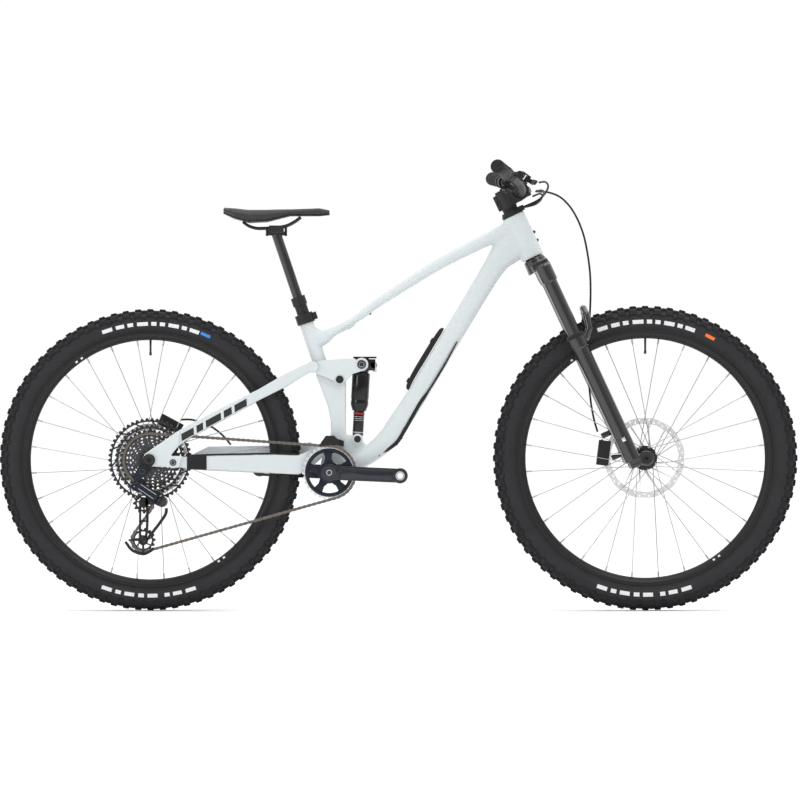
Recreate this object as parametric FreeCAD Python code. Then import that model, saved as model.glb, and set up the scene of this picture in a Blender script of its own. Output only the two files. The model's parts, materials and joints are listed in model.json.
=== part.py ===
import FreeCAD, Part
import math
import os

# Full-suspension trail mountain bike, millimetres.
# +X forward, +Y to the rider's left, +Z up; origin on the ground, midway between the tyres' ends.
# Frame points are written as (forward, up) from the bottom bracket centre.
# Fork and cockpit points are written as (s, p): up the steering axis from its foot, and ahead of it.

V = FreeCAD.Vector

# ---- driving dimensions ----
WHEELBASE = 1224.4
REAR_CENTRE = 443.0
BB_HEIGHT = 341.8
HEAD_ANGLE = 65.1
SEAT_ANGLE = 71.3
FORK_OFFSET = 44.0
FORK_TRAVEL = 150.0
DROPPER_TRAVEL = 150.0
CRANK_LENGTH = 175.0
HANDLEBAR_WIDTH = 780.0
FRONT_TYRE_RADIUS = 377.0
REAR_TYRE_RADIUS = 373.0

# ---- clearances ----
PIN_CLEARANCE = 0.05
SIDE_CLEARANCE = 1.0
SLIDE_CLEARANCE = 0.08
OPEN_PIVOT_CLEARANCE = 4.5
FIT_GAP = 0.15

# ---- head tube and steering ----
HEAD_TUBE_LOW = 566.8
HEAD_TUBE_LENGTH = 115.8
HEAD_TUBE_RADIUS = 29.5
STEERER_RADIUS = 14.3
LOWER_RACE_RADIUS = 19.5
BEARING_HEIGHT = 9.0
BEARING_RADIUS = 26.0

# ---- fork ----
STANCHION_RADIUS = 17.5
STANCHION_WALL = 2.0
LEG_SPACING = 132.0
LEG_AHEAD = 12.0
CROWN_LOW = 495.0
CROWN_HIGH = 537.0
LOWER_TOP = 345.0
LOWER_RADIUS = 21.0
AXLE_LUG_RADIUS = 19.0
FRONT_HUB_WIDTH = 110.0
FRONT_AXLE_RADIUS = 7.5

# ---- wheels ----
RIM_OUTER_RADIUS = 316.0
RIM_BED_RADIUS = 309.0
RIM_INNER_RADIUS = 296.0
RIM_HALF_WIDTH = 17.5
RIM_WALL = 2.4
TYRE_WALL = 3.5
SPOKE_COUNT = 28
SPOKE_RADIUS = 1.0
SPOKE_CROSS_OFFSET = 19.5
NIPPLE_RADIUS = 2.1
NIPPLE_LENGTH = 13.0
REAR_HUB_WIDTH = 148.0
REAR_AXLE_RADIUS = 6.0
FRONT_ROTOR_RADIUS = 100.0
REAR_ROTOR_RADIUS = 90.0
ROTOR_THICKNESS = 1.9
FRONT_ROTOR_Y = 41.0
REAR_ROTOR_Y = 55.7

# ---- drivetrain ----
CHAIN_PITCH = 12.7
CHAINRING_TEETH = 32
CASSETTE_TEETH = (50, 42, 36, 32, 28, 24, 21, 18, 16, 14, 12, 10)
COG_PITCH = 3.65
LARGE_COG_Y = -28.5
COG_THICKNESS = 1.8
USED_COG = 3
CHAINLINE = 52.0
CHAIN_HALF_WIDTH = 2.62
CHAIN_PLATE = 0.8
CHAIN_HALF_HEIGHT = 4.2
CHAIN_GAP = 0.6
UPPER_JOCKEY_TEETH = 12
LOWER_JOCKEY_TEETH = 14
SPINDLE_RADIUS = 14.5
BB_SHELL_RADIUS = 23.5
BB_SHELL_WIDTH = 73.0
BB_CUP_WIDTH = 8.0
CRANK_THICKNESS = 13.5
CRANK_BOSS_RADIUS = 21.0
CRANK_END_RADIUS = 19.0
CRANK_FOOT_Y = 59.5
CRANK_TIP_Y = 71.0
CRANK_DROOP = 2.5
PEDAL_HOLE_RADIUS = 7.14

# ---- rear suspension pivots, from the bottom bracket ----
MAIN_PIVOT = (5.0, 58.0)
HORST_PIVOT = (-384.1, 25.0)
STAY_PIVOT = (-42.1, 260.6)
ROCKER_PIVOT = (25.5, 229.7)
SHOCK_TOP = (79.7, 266.8)
SHOCK_FOOT = (69.5, 82.1)
STRUT_HALF_WIDTH = 20.0
PLATE_THICKNESS = 8.0
MAIN_PIN_RADIUS = 8.0
ROCKER_PIN_RADIUS = 7.0
SMALL_PIN_RADIUS = 5.0
SHOCK_CAN_RADIUS = 22.0
SHOCK_SHAFT_RADIUS = 13.5

# ---- frame tubes: (share of the line, offset from it, depth, width) ----
TOP_TUBE_REAR = (-46.0, 335.0)
TOP_TUBE_HEAD_S = 654.0
TOP_TUBE = (
    (0.0, -3.0, 54.0, 34.0),
    (0.044, -14.0, 40.0, 36.0),
    (0.080, -14.1, 26.0, 37.0),
    (0.211, -10.5, 17.5, 38.0),
    (0.289, -2.6, 21.0, 38.0),
    (0.361, 2.6, 23.0, 38.0),
    (0.600, 17.5, 27.5, 38.0),
    (0.877, 18.0, 33.0, 43.0),
    (0.985, 5.0, 40.0, 48.0),
)
DOWN_TUBE_FOOT = (40.0, 15.0)
DOWN_TUBE_HEAD_S = 600.0
DOWN_TUBE = (
    (0.0, -4.0, 50.0, 66.0),
    (0.114, -28.5, 40.0, 62.0),
    (0.231, -29.5, 44.0, 52.0),
    (0.352, -22.5, 49.0, 48.0),
    (0.633, 5.5, 50.0, 48.0),
    (0.857, 27.8, 54.0, 50.0),
    (0.932, 24.0, 76.0, 52.0),
    (0.985, 15.0, 84.0, 50.0),
)
TUBE_WALL = 2.5
STRIP_HALF_WIDTH = 8.0
STRIP_HEIGHT = 6.0
STRIP_BOLTS = (0.1, 0.45, 0.8)
SEAT_TOP = (-64.1, 390.3)
SEAT_TUBE_RADIUS = 18.0
SEAT_TUBE_END_Z = 212.0
POST_OUTER_RADIUS = 15.4
POST_INNER_RADIUS = 12.5
POST_COLLAR_Z = 434.0
POST_FOOT_Z = 222.0
POST_HEAD = (-132.4, 599.7)
STRUT_OUTLINE = (
    (-31.4, 236.6), (-3.7, 163.8), (3.5, 128.9), (3.5, 92.6), (-16.0, 66.0), (-24.0, 20.0),
    (-22.0, -14.0), (10.0, -24.0), (60.0, -4.0), (92.0, 40.0), (92.0, 66.0), (84.0, 66.0),
    (40.8, 66.0), (40.8, 224.5), (20.0, 252.0), (-20.0, 262.0),
)

# ---- derived places ----
BB_X = REAR_CENTRE - (WHEELBASE + FRONT_TYRE_RADIUS - REAR_TYRE_RADIUS) / 2
REAR_AXLE = (-REAR_CENTRE, REAR_TYRE_RADIUS - BB_HEIGHT)
FRONT_AXLE = V(BB_X - REAR_CENTRE + WHEELBASE, 0, FRONT_TYRE_RADIUS)
HEAD_RAD = math.radians(HEAD_ANGLE)
UP = V(-math.cos(HEAD_RAD), 0, math.sin(HEAD_RAD))
AHEAD = V(math.sin(HEAD_RAD), 0, math.cos(HEAD_RAD))
AXIS_FOOT = FRONT_AXLE - AHEAD * FORK_OFFSET
SEAT_RAD = math.radians(SEAT_ANGLE)
POST_DOWN = V(math.cos(SEAT_RAD), 0, -math.sin(SEAT_RAD))
HEAD_TUBE_HIGH = HEAD_TUBE_LOW + HEAD_TUBE_LENGTH
ACROSS = V(0, 1, 0)
RIGHT = -1
LEFT = 1


def bb(point, y=0.0):
    """A frame point (forward, up) from the bottom bracket centre, y to the left."""
    return V(BB_X + point[0], y, BB_HEIGHT + point[1])


def steer(s, p, y=0.0):
    """A fork or cockpit point: s up the steering axis, p ahead of it."""
    return AXIS_FOOT + UP * s + AHEAD * p + V(0, y, 0)


def post(distance):
    """A point on the seat tube's centre line, this far below its top."""
    return bb(SEAT_TOP) + POST_DOWN * distance


def post_at(z):
    """A point on the seat tube's centre line at this height above the bottom bracket."""
    return post((SEAT_TOP[1] - z) / math.sin(SEAT_RAD))


# ---- solids ----
def rod(a, b, radius):
    return Part.makeCylinder(radius, (b - a).Length, a, b - a)


def cone(a, b, ra, rb):
    return Part.makeCone(ra, rb, (b - a).Length, a, b - a)


def pipe(a, b, outer, inner):
    return rod(a, b, outer).cut(rod(a, b, inner))


def ball(centre, radius):
    return Part.makeSphere(radius, centre)


def fuse(shapes):
    out = shapes[0]
    if len(shapes) > 1:
        out = out.multiFuse(list(shapes[1:]))
    return out.removeSplitter()


def cut(shape, tools):
    for tool in tools:
        shape = shape.cut(tool)
    return shape


def largest(shape):
    """The biggest solid of a shape, without any sliver a cut leaves."""
    return max(shape.Solids, key=lambda solid: solid.Volume)


def group(shapes):
    return Part.makeCompound(list(shapes))


def chain_of_rods(points, radius):
    """Round bars joined by balls, for a hoop or a bracket that bends."""
    solids = [rod(a, b, radius) for a, b in zip(points, points[1:])]
    solids += [ball(p, radius) for p in points[1:-1]]
    return fuse(solids)


def slab(points, y0, y1):
    """A flat outline of (forward, up) points, from y0 to y1."""
    ring = [bb(p, y0) for p in points]
    face = Part.Face(Part.makePolygon(ring + [ring[0]]))
    return face.extrude(V(0, y1 - y0, 0))


def disc(point, radius, y0, y1):
    return rod(bb(point, y0), bb(point, y1), radius)


def link(a, b, ra, rb, y0, y1):
    """A flat bar with round ends of different sizes about two frame points."""
    length = math.hypot(b[0] - a[0], b[1] - a[1])
    base = math.atan2(b[1] - a[1], b[0] - a[0])
    lean = math.acos((ra - rb) / length)
    corners = []
    for centre, radius, turn in ((a, ra, lean), (b, rb, lean), (b, rb, -lean), (a, ra, -lean)):
        angle = base + turn
        corners.append((centre[0] + radius * math.cos(angle), centre[1] + radius * math.sin(angle)))
    return fuse([slab(corners, y0, y1), disc(a, ra, y0, y1), disc(b, rb, y0, y1)])


def block(centre, e1, e2, e3, low, high):
    """A box in its own axes: low and high are its corners along e1, e2 and e3 from centre."""
    def corner(i, j):
        return centre + e1 * i + e2 * j + e3 * low[2]
    ring = [corner(low[0], low[1]), corner(high[0], low[1]), corner(high[0], high[1]),
            corner(low[0], high[1])]
    face = Part.Face(Part.makePolygon(ring + [ring[0]]))
    return face.extrude(e3 * (high[2] - low[2]))


def oval(centre, normal, depth, width):
    """A rounded section across a tube that runs along normal in the bike's plane."""
    upright = normal.cross(ACROSS)
    upright.normalize()
    corner = 0.42 * min(depth, width)
    hu = depth / 2
    hw = width / 2
    wires = []
    k = corner * (1 - math.sqrt(0.5))
    spots = ((1, 1), (1, -1), (-1, -1), (-1, 1))
    rows = []
    for su, sw in spots:
        along = (centre + upright * (su * hu) + ACROSS * (sw * (hw - corner)))
        mid = centre + upright * (su * (hu - k)) + ACROSS * (sw * (hw - k))
        side = centre + upright * (su * (hu - corner)) + ACROSS * (sw * hw)
        rows.append((along, mid, side))
    order = [rows[1][2], rows[1][1], rows[1][0], rows[0][0], rows[0][1], rows[0][2],
             rows[3][2], rows[3][1], rows[3][0], rows[2][0], rows[2][1], rows[2][2]]
    wires.append(Part.Arc(order[0], order[1], order[2]).toShape())
    wires.append(Part.LineSegment(order[2], order[3]).toShape())
    wires.append(Part.Arc(order[3], order[4], order[5]).toShape())
    wires.append(Part.LineSegment(order[5], order[6]).toShape())
    wires.append(Part.Arc(order[6], order[7], order[8]).toShape())
    wires.append(Part.LineSegment(order[8], order[9]).toShape())
    wires.append(Part.Arc(order[9], order[10], order[11]).toShape())
    wires.append(Part.LineSegment(order[11], order[0]).toShape())
    return Part.Wire(wires)


def tube_along(start, end, stations, wall=0.0):
    """A tube lofted through stations on the line from start to end, thinner by wall all round."""
    line = end - start
    normal = line.cross(ACROSS)
    normal.normalize()
    centres = [start + line * st[0] + normal * st[1] for st in stations]
    sections = []
    for i, station in enumerate(stations):
        before = centres[max(i - 1, 0)]
        after = centres[min(i + 1, len(centres) - 1)]
        way = after - before
        way.normalize()
        sections.append(oval(centres[i], way, station[2] - 2 * wall, station[3] - 2 * wall))
    return Part.makeLoft(sections, True, False)


def box_loft(stations, side):
    """A stay: (forward, low, high, inner, outer) stations, on one side of the bike."""
    wires = []
    for x, low, high, inner, outer in stations:
        ring = [bb((x, low), side * inner), bb((x, high), side * inner),
                bb((x, high), side * outer), bb((x, low), side * outer)]
        wires.append(Part.makePolygon(ring + [ring[0]]))
    return Part.makeLoft(wires, True, True)


def cable_path(points, name):
    """Straight runs joined by arcs as large as the runs allow."""
    edges = []
    radii = []
    start = points[0]
    for i in range(1, len(points) - 1):
        before = points[i] - points[i - 1]
        after = points[i + 1] - points[i]
        run = min(before.Length, after.Length)
        turn = before.getAngle(after)
        reach = 0.45 * run
        radii.append(reach / math.tan(turn / 2))
        before.normalize()
        after.normalize()
        a = points[i] - before * reach
        c = points[i] + after * reach
        half = before - after
        half.normalize()
        mid = points[i] - half * (radii[-1] / math.cos(turn / 2) - radii[-1])
        edges.append(Part.LineSegment(start, a).toShape())
        edges.append(Part.Arc(a, mid, c).toShape())
        start = c
    edges.append(Part.LineSegment(start, points[-1]).toShape())
    print(name, "bend radii", [round(r) for r in radii])
    return Part.Wire(edges)


def cable(points, radius, name):
    path = cable_path(points, name)
    way = points[1] - points[0]
    profile = Part.Wire([Part.Circle(points[0], way, radius).toShape()])
    tube = path.makePipeShell([profile], True, False)
    print(name, "length", round(path.Length), "volume ratio",
          round(tube.Volume / (math.pi * radius ** 2 * path.Length), 3))
    return tube


def sprocket(teeth, centre, thickness, bore, bolt_circle=0.0):
    """A toothed plate about a Y axis, with its teeth just inside a chain's rollers."""
    pitch_radius = pitch_circle(teeth)
    root = pitch_radius - 4.0
    tip = pitch_radius + 1.8
    step = 2 * math.pi / teeth
    ring = []
    for i in range(teeth):
        for share, radius in ((-0.30, root), (-0.12, tip), (0.12, tip), (0.30, root)):
            angle = (i + share) * step
            ring.append(centre + V(radius * math.cos(angle), -thickness / 2, radius * math.sin(angle)))
    plate = Part.Face(Part.makePolygon(ring + [ring[0]])).extrude(V(0, thickness, 0))
    half = V(0, thickness, 0)
    return plate.cut(rod(centre - half, centre + half, bore))


def pitch_circle(teeth):
    return CHAIN_PITCH / (2 * math.sin(math.pi / teeth))


def revolve(points, centre):
    """A ring turned about the Y axis through centre from (radius, y) points."""
    ring = [centre + V(0, p[1], p[0]) for p in points]
    face = Part.Face(Part.makePolygon(ring + [ring[0]]))
    return face.revolve(centre, ACROSS, 360)


# ---- frame ----
def front_frame():
    head_low = steer(HEAD_TUBE_LOW, 0)
    head_high = steer(HEAD_TUBE_HIGH, 0)
    down = (bb(DOWN_TUBE_FOOT), steer(DOWN_TUBE_HEAD_S, 0))
    top = (bb(TOP_TUBE_REAR), steer(TOP_TUBE_HEAD_S, 0))
    shell_half = BB_SHELL_WIDTH / 2
    ear_inner = STRUT_HALF_WIDTH - 4.0
    ear_outer = ear_inner + 10.0
    ears = [fuse([disc(SHOCK_FOOT, 13.6, s * ear_inner, s * ear_outer),
                  slab(((56.0, 60.0), (56.0, 82.0), (83.0, 82.0), (88.0, 60.0)), s * ear_inner,
                       s * ear_outer)])
            for s in (RIGHT, LEFT)]
    outer = fuse([rod(head_low, head_high, HEAD_TUBE_RADIUS),
                  tube_along(*down, DOWN_TUBE),
                  tube_along(*top, TOP_TUBE),
                  rod(post(0), post_at(SEAT_TUBE_END_Z), SEAT_TUBE_RADIUS),
                  slab(STRUT_OUTLINE, -STRUT_HALF_WIDTH, STRUT_HALF_WIDTH),
                  disc((0, 0), BB_SHELL_RADIUS, -shell_half, shell_half),
                  disc(MAIN_PIVOT, 16.0, -STRUT_HALF_WIDTH, STRUT_HALF_WIDTH)] + ears)
    hollow = [tube_along(*down, DOWN_TUBE[1:], TUBE_WALL), tube_along(*top, TOP_TUBE[1:], TUBE_WALL)]
    bores = [rod(head_low - UP, head_high + UP, HEAD_TUBE_RADIUS - 7.0),
             rod(head_low - UP, steer(HEAD_TUBE_LOW + BEARING_HEIGHT, 0), BEARING_RADIUS),
             rod(steer(HEAD_TUBE_HIGH - BEARING_HEIGHT, 0), head_high + UP, BEARING_RADIUS),
             rod(post(-1), post_at(POST_FOOT_Z - 1), POST_OUTER_RADIUS),
             disc((0, 0), BB_SHELL_RADIUS - 3.0, -shell_half - 1, shell_half + 1),
             disc(MAIN_PIVOT, MAIN_PIN_RADIUS, -40, 40),
             disc(ROCKER_PIVOT, ROCKER_PIN_RADIUS, -40, 40),
             disc(SHOCK_FOOT, SMALL_PIN_RADIUS, -40, 40),
             disc(SHOCK_FOOT, 15.5, -ear_inner, ear_inner)]
    return cut(outer, hollow + bores)


def pivots_and_bearings():
    """Headset bearings, the bottom bracket's cups and the suspension pins."""
    fit = PIN_CLEARANCE
    low = pipe(steer(HEAD_TUBE_LOW, 0), steer(HEAD_TUBE_LOW + BEARING_HEIGHT, 0),
               BEARING_RADIUS, LOWER_RACE_RADIUS + fit)
    high = pipe(steer(HEAD_TUBE_HIGH - BEARING_HEIGHT, 0), steer(HEAD_TUBE_HIGH, 0),
                BEARING_RADIUS, STEERER_RADIUS + fit)
    cups = []
    half = BB_SHELL_WIDTH / 2
    for side in (RIGHT, LEFT):
        sleeve = disc((0, 0), BB_SHELL_RADIUS - 3.0, side * (half - 12), side * half)
        cup = disc((0, 0), BB_SHELL_RADIUS - 1.5, side * half, side * (half + BB_CUP_WIDTH))
        cups.append(fuse([sleeve, cup]).cut(disc((0, 0), SPINDLE_RADIUS + fit, -60, 60)))
    return group([low, high] + cups + pivot_axles())


def pivot_axles():
    """Main pivot, rocker pivot and lower shock pins, each with its two heads."""
    out = []
    for place, radius, reach, head in ((MAIN_PIVOT, MAIN_PIN_RADIUS, 33.6, 11.5),
                                       (ROCKER_PIVOT, ROCKER_PIN_RADIUS, 29.4, 9.5),
                                       (SHOCK_FOOT, SMALL_PIN_RADIUS, 26.0, 8.5)):
        heads = [disc(place, head, s * reach, s * (reach + 2.6)) for s in (RIGHT, LEFT)]
        out.append(fuse([disc(place, radius, -reach, reach)] + heads))
    return out


def seat_clamp():
    top = post(-1.5)
    ring = rod(top, post(23), SEAT_TUBE_RADIUS + 4.5)
    ear = block(post(11), AHEAD_OF_POST, ACROSS, POST_DOWN, (SEAT_TUBE_RADIUS, -9, -9), (31, 9, 9))
    bore = [rod(post(-0.2), post(24), SEAT_TUBE_RADIUS), rod(post(-3), post(24), POST_OUTER_RADIUS)]
    slit = block(post(11), AHEAD_OF_POST, ACROSS, POST_DOWN, (SEAT_TUBE_RADIUS + 1, -0.8, -15), (40, 0.8, 15))
    bolt = rod(post(11) + AHEAD_OF_POST * 25 - ACROSS * 9, post(11) + AHEAD_OF_POST * 25 + ACROSS * 9, 2.6)
    return group([cut(fuse([ring, ear]), bore + [slit, bolt]), bolt])


AHEAD_OF_POST = V(math.sin(SEAT_RAD), 0, math.cos(SEAT_RAD))


def seatpost_outer():
    top = post_at(POST_COLLAR_Z)
    collar = rod(top, post(-24), POST_OUTER_RADIUS + 2.6)
    body = rod(post(-24.5), post_at(POST_FOOT_Z), POST_OUTER_RADIUS)
    bore = rod(top - POST_DOWN, post_at(POST_FOOT_Z + 3), POST_INNER_RADIUS + SLIDE_CLEARANCE)
    return fuse([collar, body]).cut(bore)


def on_down_tube(share, side_offset):
    """A point beside the down tube's line: side_offset is to the upper side."""
    start = bb(DOWN_TUBE_FOOT)
    line = steer(DOWN_TUBE_HEAD_S, 0) - start
    normal = line.cross(ACROSS)
    normal.normalize()
    return start + line * share + normal * side_offset


def down_tube_guard():
    """A moulded skid plate that wraps the down tube's lower side."""
    low = [(s[0], s[1] - 3.5, s[2] + 7.0, s[3] + 7.0) for s in DOWN_TUBE[1:4]]
    low.append((0.60, 2.6 - 3.0, 56.0, 54.0))
    ends = (bb(DOWN_TUBE_FOOT), steer(DOWN_TUBE_HEAD_S, 0))
    shell = tube_along(*ends, low)
    core = tube_along(*ends, DOWN_TUBE)
    lift = [on_down_tube(s, o) for s, o in ((0.05, -20.0), (0.231, -24.0), (0.352, -16.0), (0.70, 14.0),
                                            (0.70, 90.0), (0.05, 90.0))]
    keep_out = Part.Face(Part.makePolygon([p - ACROSS * 60 for p in lift] + [lift[0] - ACROSS * 60]))
    return cut(shell, [core, keep_out.extrude(V(0, 120, 0)), slab(STRUT_OUTLINE, -40, 40)])


def accessory_strip():
    """A slim rail with three bolt heads on top of the down tube."""
    a0 = on_down_tube(0.352, -22.5 + 24.3)
    b0 = on_down_tube(0.60, 2.6 + 24.8)
    way = b0 - a0
    length = way.Length
    way.normalize()
    out = ACROSS.cross(way)
    rail = block(a0, way, ACROSS, out, (0, -STRIP_HALF_WIDTH, -4), (length, STRIP_HALF_WIDTH, STRIP_HEIGHT))
    spots = [a0 + way * (length * share) for share in STRIP_BOLTS]
    heads = [rod(p + out * STRIP_HEIGHT, p + out * (STRIP_HEIGHT + 2.5), 4.5) for p in spots]
    core = tube_along(bb(DOWN_TUBE_FOOT), steer(DOWN_TUBE_HEAD_S, 0), DOWN_TUBE)
    return largest(fuse([rail] + heads).cut(core))


def chain_guide():
    back = slab(((-22.0, 72.0), (-8.7, 90.6), (12.1, 91.3), (30.2, 72.0)), -48.6, -45.4)
    front = slab(((-25.7, 64.8), (-8.7, 90.6), (12.1, 91.3), (30.2, 70.5)), -58.4, -56.4)
    roof = slab(((-19.0, 76.0), (-8.7, 90.6), (12.1, 91.3), (25.0, 76.0)), -56.4, -48.6)
    arm = slab(((4.0, 72.0), (4.0, 88.0), (36.0, 78.0), (36.0, 64.0)), -45.4, -STRUT_HALF_WIDTH)
    return fuse([back, front, roof, arm]).cut(disc(MAIN_PIVOT, 15.0, -50, 0))


# ---- fork ----
def fork_crown():
    """Crown, steerer and stanchions, pressed together for life."""
    arms = []
    for side in (RIGHT, LEFT):
        y = side * LEG_SPACING / 2
        clamp = rod(steer(CROWN_LOW, LEG_AHEAD, y), steer(CROWN_HIGH, LEG_AHEAD, y), STANCHION_RADIUS + 3.0)
        cap = rod(steer(CROWN_HIGH, LEG_AHEAD, y), steer(CROWN_HIGH + 4, LEG_AHEAD, y), STANCHION_RADIUS - 2)
        bridge = block(steer(0, 0), AHEAD, ACROSS, UP, (-14, min(0, y), CROWN_LOW + 37),
                       (30, max(0, y), CROWN_HIGH + 14))
        wedge = block(steer(0, 0), AHEAD, ACROSS, UP, (-10, side * 52 - 12, CROWN_LOW + 8),
                      (28, side * 52 + 12, CROWN_HIGH + 4))
        arms += [clamp, cap, bridge, wedge]
    neck = cone(steer(CROWN_HIGH - 4, 4), steer(HEAD_TUBE_LOW - 1.0, 0), 32.0, BEARING_RADIUS)
    race = rod(steer(CROWN_HIGH, 0), steer(HEAD_TUBE_LOW + BEARING_HEIGHT, 0), LOWER_RACE_RADIUS)
    taper = cone(steer(HEAD_TUBE_LOW + BEARING_HEIGHT, 0), steer(HEAD_TUBE_LOW + 50, 0), LOWER_RACE_RADIUS,
                 STEERER_RADIUS)
    steerer = rod(steer(HEAD_TUBE_LOW + 49, 0), steer(STEM_HIGH - 1, 0), STEERER_RADIUS)
    legs = []
    bores = [rod(steer(CROWN_HIGH + 4, 0), steer(STEM_HIGH + 2, 0), STEERER_RADIUS - 2.5)]
    for side in (RIGHT, LEFT):
        y = side * LEG_SPACING / 2
        legs.append(rod(steer(STANCHION_FOOT, LEG_AHEAD, y), steer(CROWN_HIGH, LEG_AHEAD, y),
                        STANCHION_RADIUS))
        bores.append(rod(steer(STANCHION_FOOT - 1, LEG_AHEAD, y), steer(CROWN_HIGH - 6, LEG_AHEAD, y),
                         STANCHION_RADIUS - STANCHION_WALL))
    trimmed = cut(fuse(arms + [neck]), [rod(steer(HEAD_TUBE_LOW - 1.0, 0), steer(HEAD_TUBE_LOW + 9, 0),
                                            60.0)])
    return cut(fuse([trimmed, race, taper, steerer] + legs), bores)


STANCHION_FOOT = 188.0
STEM_LOW = HEAD_TUBE_HIGH + 20.0
STEM_HIGH = HEAD_TUBE_HIGH + 63.0


def fork_lowers():
    parts = []
    bores = []
    for side in (RIGHT, LEFT):
        y = side * LEG_SPACING / 2
        parts.append(rod(steer(8, LEG_AHEAD, y), steer(LOWER_TOP - 10, LEG_AHEAD, y), LOWER_RADIUS - 0.5))
        parts.append(rod(steer(LOWER_TOP - 30, LEG_AHEAD, y), steer(LOWER_TOP, LEG_AHEAD, y),
                         LOWER_RADIUS + 1.0))
        bores.append(rod(steer(34, LEG_AHEAD, y), steer(LOWER_TOP + 1, LEG_AHEAD, y),
                         STANCHION_RADIUS + SLIDE_CLEARANCE))
        inner = side * (FRONT_HUB_WIDTH / 2)
        outer = side * (LEG_SPACING / 2 + 12)
        axle = steer(0, FORK_OFFSET)
        lug = rod(axle + ACROSS * inner, axle + ACROSS * outer, AXLE_LUG_RADIUS)
        web = block(steer(0, 0), AHEAD, ACROSS, UP, (LEG_AHEAD - 12, min(inner, outer), -10),
                    (FORK_OFFSET, max(inner, outer), 14))
        parts += [lug, web]
    hoop = [(330, 32, 66), (350, 52, 66), (384, 59, 58), (399, 60, 34), (402, 60, 0)]
    right_half = [steer(s, p, -y) for s, p, y in hoop]
    left_half = [steer(s, p, y) for s, p, y in reversed(hoop[:-1])]
    parts.append(chain_of_rods(right_half + left_half, 9.0))
    tabs = [block(steer(0, 0), AHEAD, ACROSS, UP, (-30, LEG_SPACING / 2 - 16, low),
                  (LEG_AHEAD - 10, LEG_SPACING / 2 - 2, low + 14))
            for low in (26, 86)]
    bores.append(rod(steer(0, FORK_OFFSET, -90), steer(0, FORK_OFFSET, 90), FRONT_AXLE_RADIUS))
    return cut(fuse(parts + tabs), bores)


def front_axle():
    half = LEG_SPACING / 2 + 12
    body = rod(steer(0, FORK_OFFSET, -half), steer(0, FORK_OFFSET, half), FRONT_AXLE_RADIUS)
    heads = [rod(steer(0, FORK_OFFSET, s * half), steer(0, FORK_OFFSET, s * (half + 3)),
                 11.0) for s in (RIGHT, LEFT)]
    return fuse([body] + heads).cut(rod(steer(0, FORK_OFFSET, -90), steer(0, FORK_OFFSET, 90), 4.3))


def fork_shafts():
    """Damper and air spring shafts, from the lowers up into the stanchions."""
    out = []
    for side in (RIGHT, LEFT):
        y = side * LEG_SPACING / 2
        shaft = rod(steer(34, LEG_AHEAD, y), steer(250, LEG_AHEAD, y), 5.0)
        piston = rod(steer(238, LEG_AHEAD, y), steer(256, LEG_AHEAD, y),
                     STANCHION_RADIUS - STANCHION_WALL - 0.3)
        out.append(fuse([shaft, piston]))
    return group(out)


def caliper(centre, along, length, depth):
    """A two-half brake caliper that straddles a rotor's edge, with its pad slot open."""
    across = along.cross(ACROSS)
    body = block(centre, along, ACROSS, across, (-length / 2, -13.5, -depth / 2), (length / 2, 15, depth / 2))
    bulges = [rod(centre + ACROSS * -13.5, centre + ACROSS * 17.5, depth * 0.36)]
    slot = block(centre, along, ACROSS, across, (-length, -2.2, -depth), (length, 2.2, depth))
    bridge = block(centre, along, ACROSS, across, (-length / 2 + 4, -15, depth / 2 - 3),
                   (-length / 2 + 12, 15, depth / 2))
    bridge2 = block(centre, along, ACROSS, across, (length / 2 - 12, -15, depth / 2 - 3),
                    (length / 2 - 4, 15, depth / 2))
    halves = fuse([body] + bulges).cut(slot)
    return fuse([halves, bridge, bridge2])


def front_brake_caliper():
    centre = steer(54, -43, FRONT_ROTOR_Y)
    away = steer(0, FORK_OFFSET, FRONT_ROTOR_Y) - centre
    away.normalize()
    along = away.cross(ACROSS)
    body = caliper(centre, along, 62.0, 30.0)
    bracket = block(steer(0, 0), AHEAD, ACROSS, UP, (-36, LEG_SPACING / 2 - 16, 40),
                    (-30, LEG_SPACING / 2 - 2, 86))
    return fuse([body, bracket])


# ---- cockpit ----
BAR_CENTRE = (730.6, 40.0)
BAR_CLAMP_RADIUS = 17.5
BAR_GRIP_RADIUS = 11.1
GRIP_RADIUS = 16.4
GRIP_LENGTH = 133.0
BAR_END = (407.9, 742.2)
BAR_RISE_POINT = (462.0, 715.0)
BAR_FLAT = 45.0
BAR_BEND = 108.0


def bar_centre():
    return steer(*BAR_CENTRE)


def cockpit(point, y):
    """A cockpit point kept by its place from the bar clamp's centre."""
    base = bar_centre()
    return V(base.x + point[0] - 470.2, y, base.z + point[1] - 696.6)


def bar_point(y):
    """The handlebar's centre line at this distance from the middle."""
    reach = abs(y)
    end = cockpit(BAR_END, 0)
    bend = cockpit(BAR_RISE_POINT, 0)
    base = bar_centre()
    if reach <= BAR_FLAT:
        spot = base
    elif reach <= BAR_BEND:
        spot = base + (bend - base) * ((reach - BAR_FLAT) / (BAR_BEND - BAR_FLAT))
    else:
        spot = bend + (end - bend) * ((reach - BAR_BEND) / (HANDLEBAR_WIDTH / 2 - BAR_BEND))
    return V(spot.x, y, spot.z)


def handlebar():
    parts = [rod(bar_point(-30), bar_point(30), BAR_CLAMP_RADIUS)]
    for side in (RIGHT, LEFT):
        parts.append(cone(bar_point(side * 30), bar_point(side * BAR_FLAT), BAR_CLAMP_RADIUS, 15.8))
        parts.append(ball(bar_point(side * BAR_FLAT), 15.8))
        parts.append(cone(bar_point(side * BAR_FLAT), bar_point(side * BAR_BEND), 15.8, 12.5))
        parts.append(ball(bar_point(side * BAR_BEND), 12.5))
        parts.append(cone(bar_point(side * BAR_BEND), bar_point(side * 170), 12.5, BAR_GRIP_RADIUS))
        parts.append(rod(bar_point(side * 170), bar_point(side * (HANDLEBAR_WIDTH / 2 - 2)), BAR_GRIP_RADIUS))
    return fuse(parts)


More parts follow.
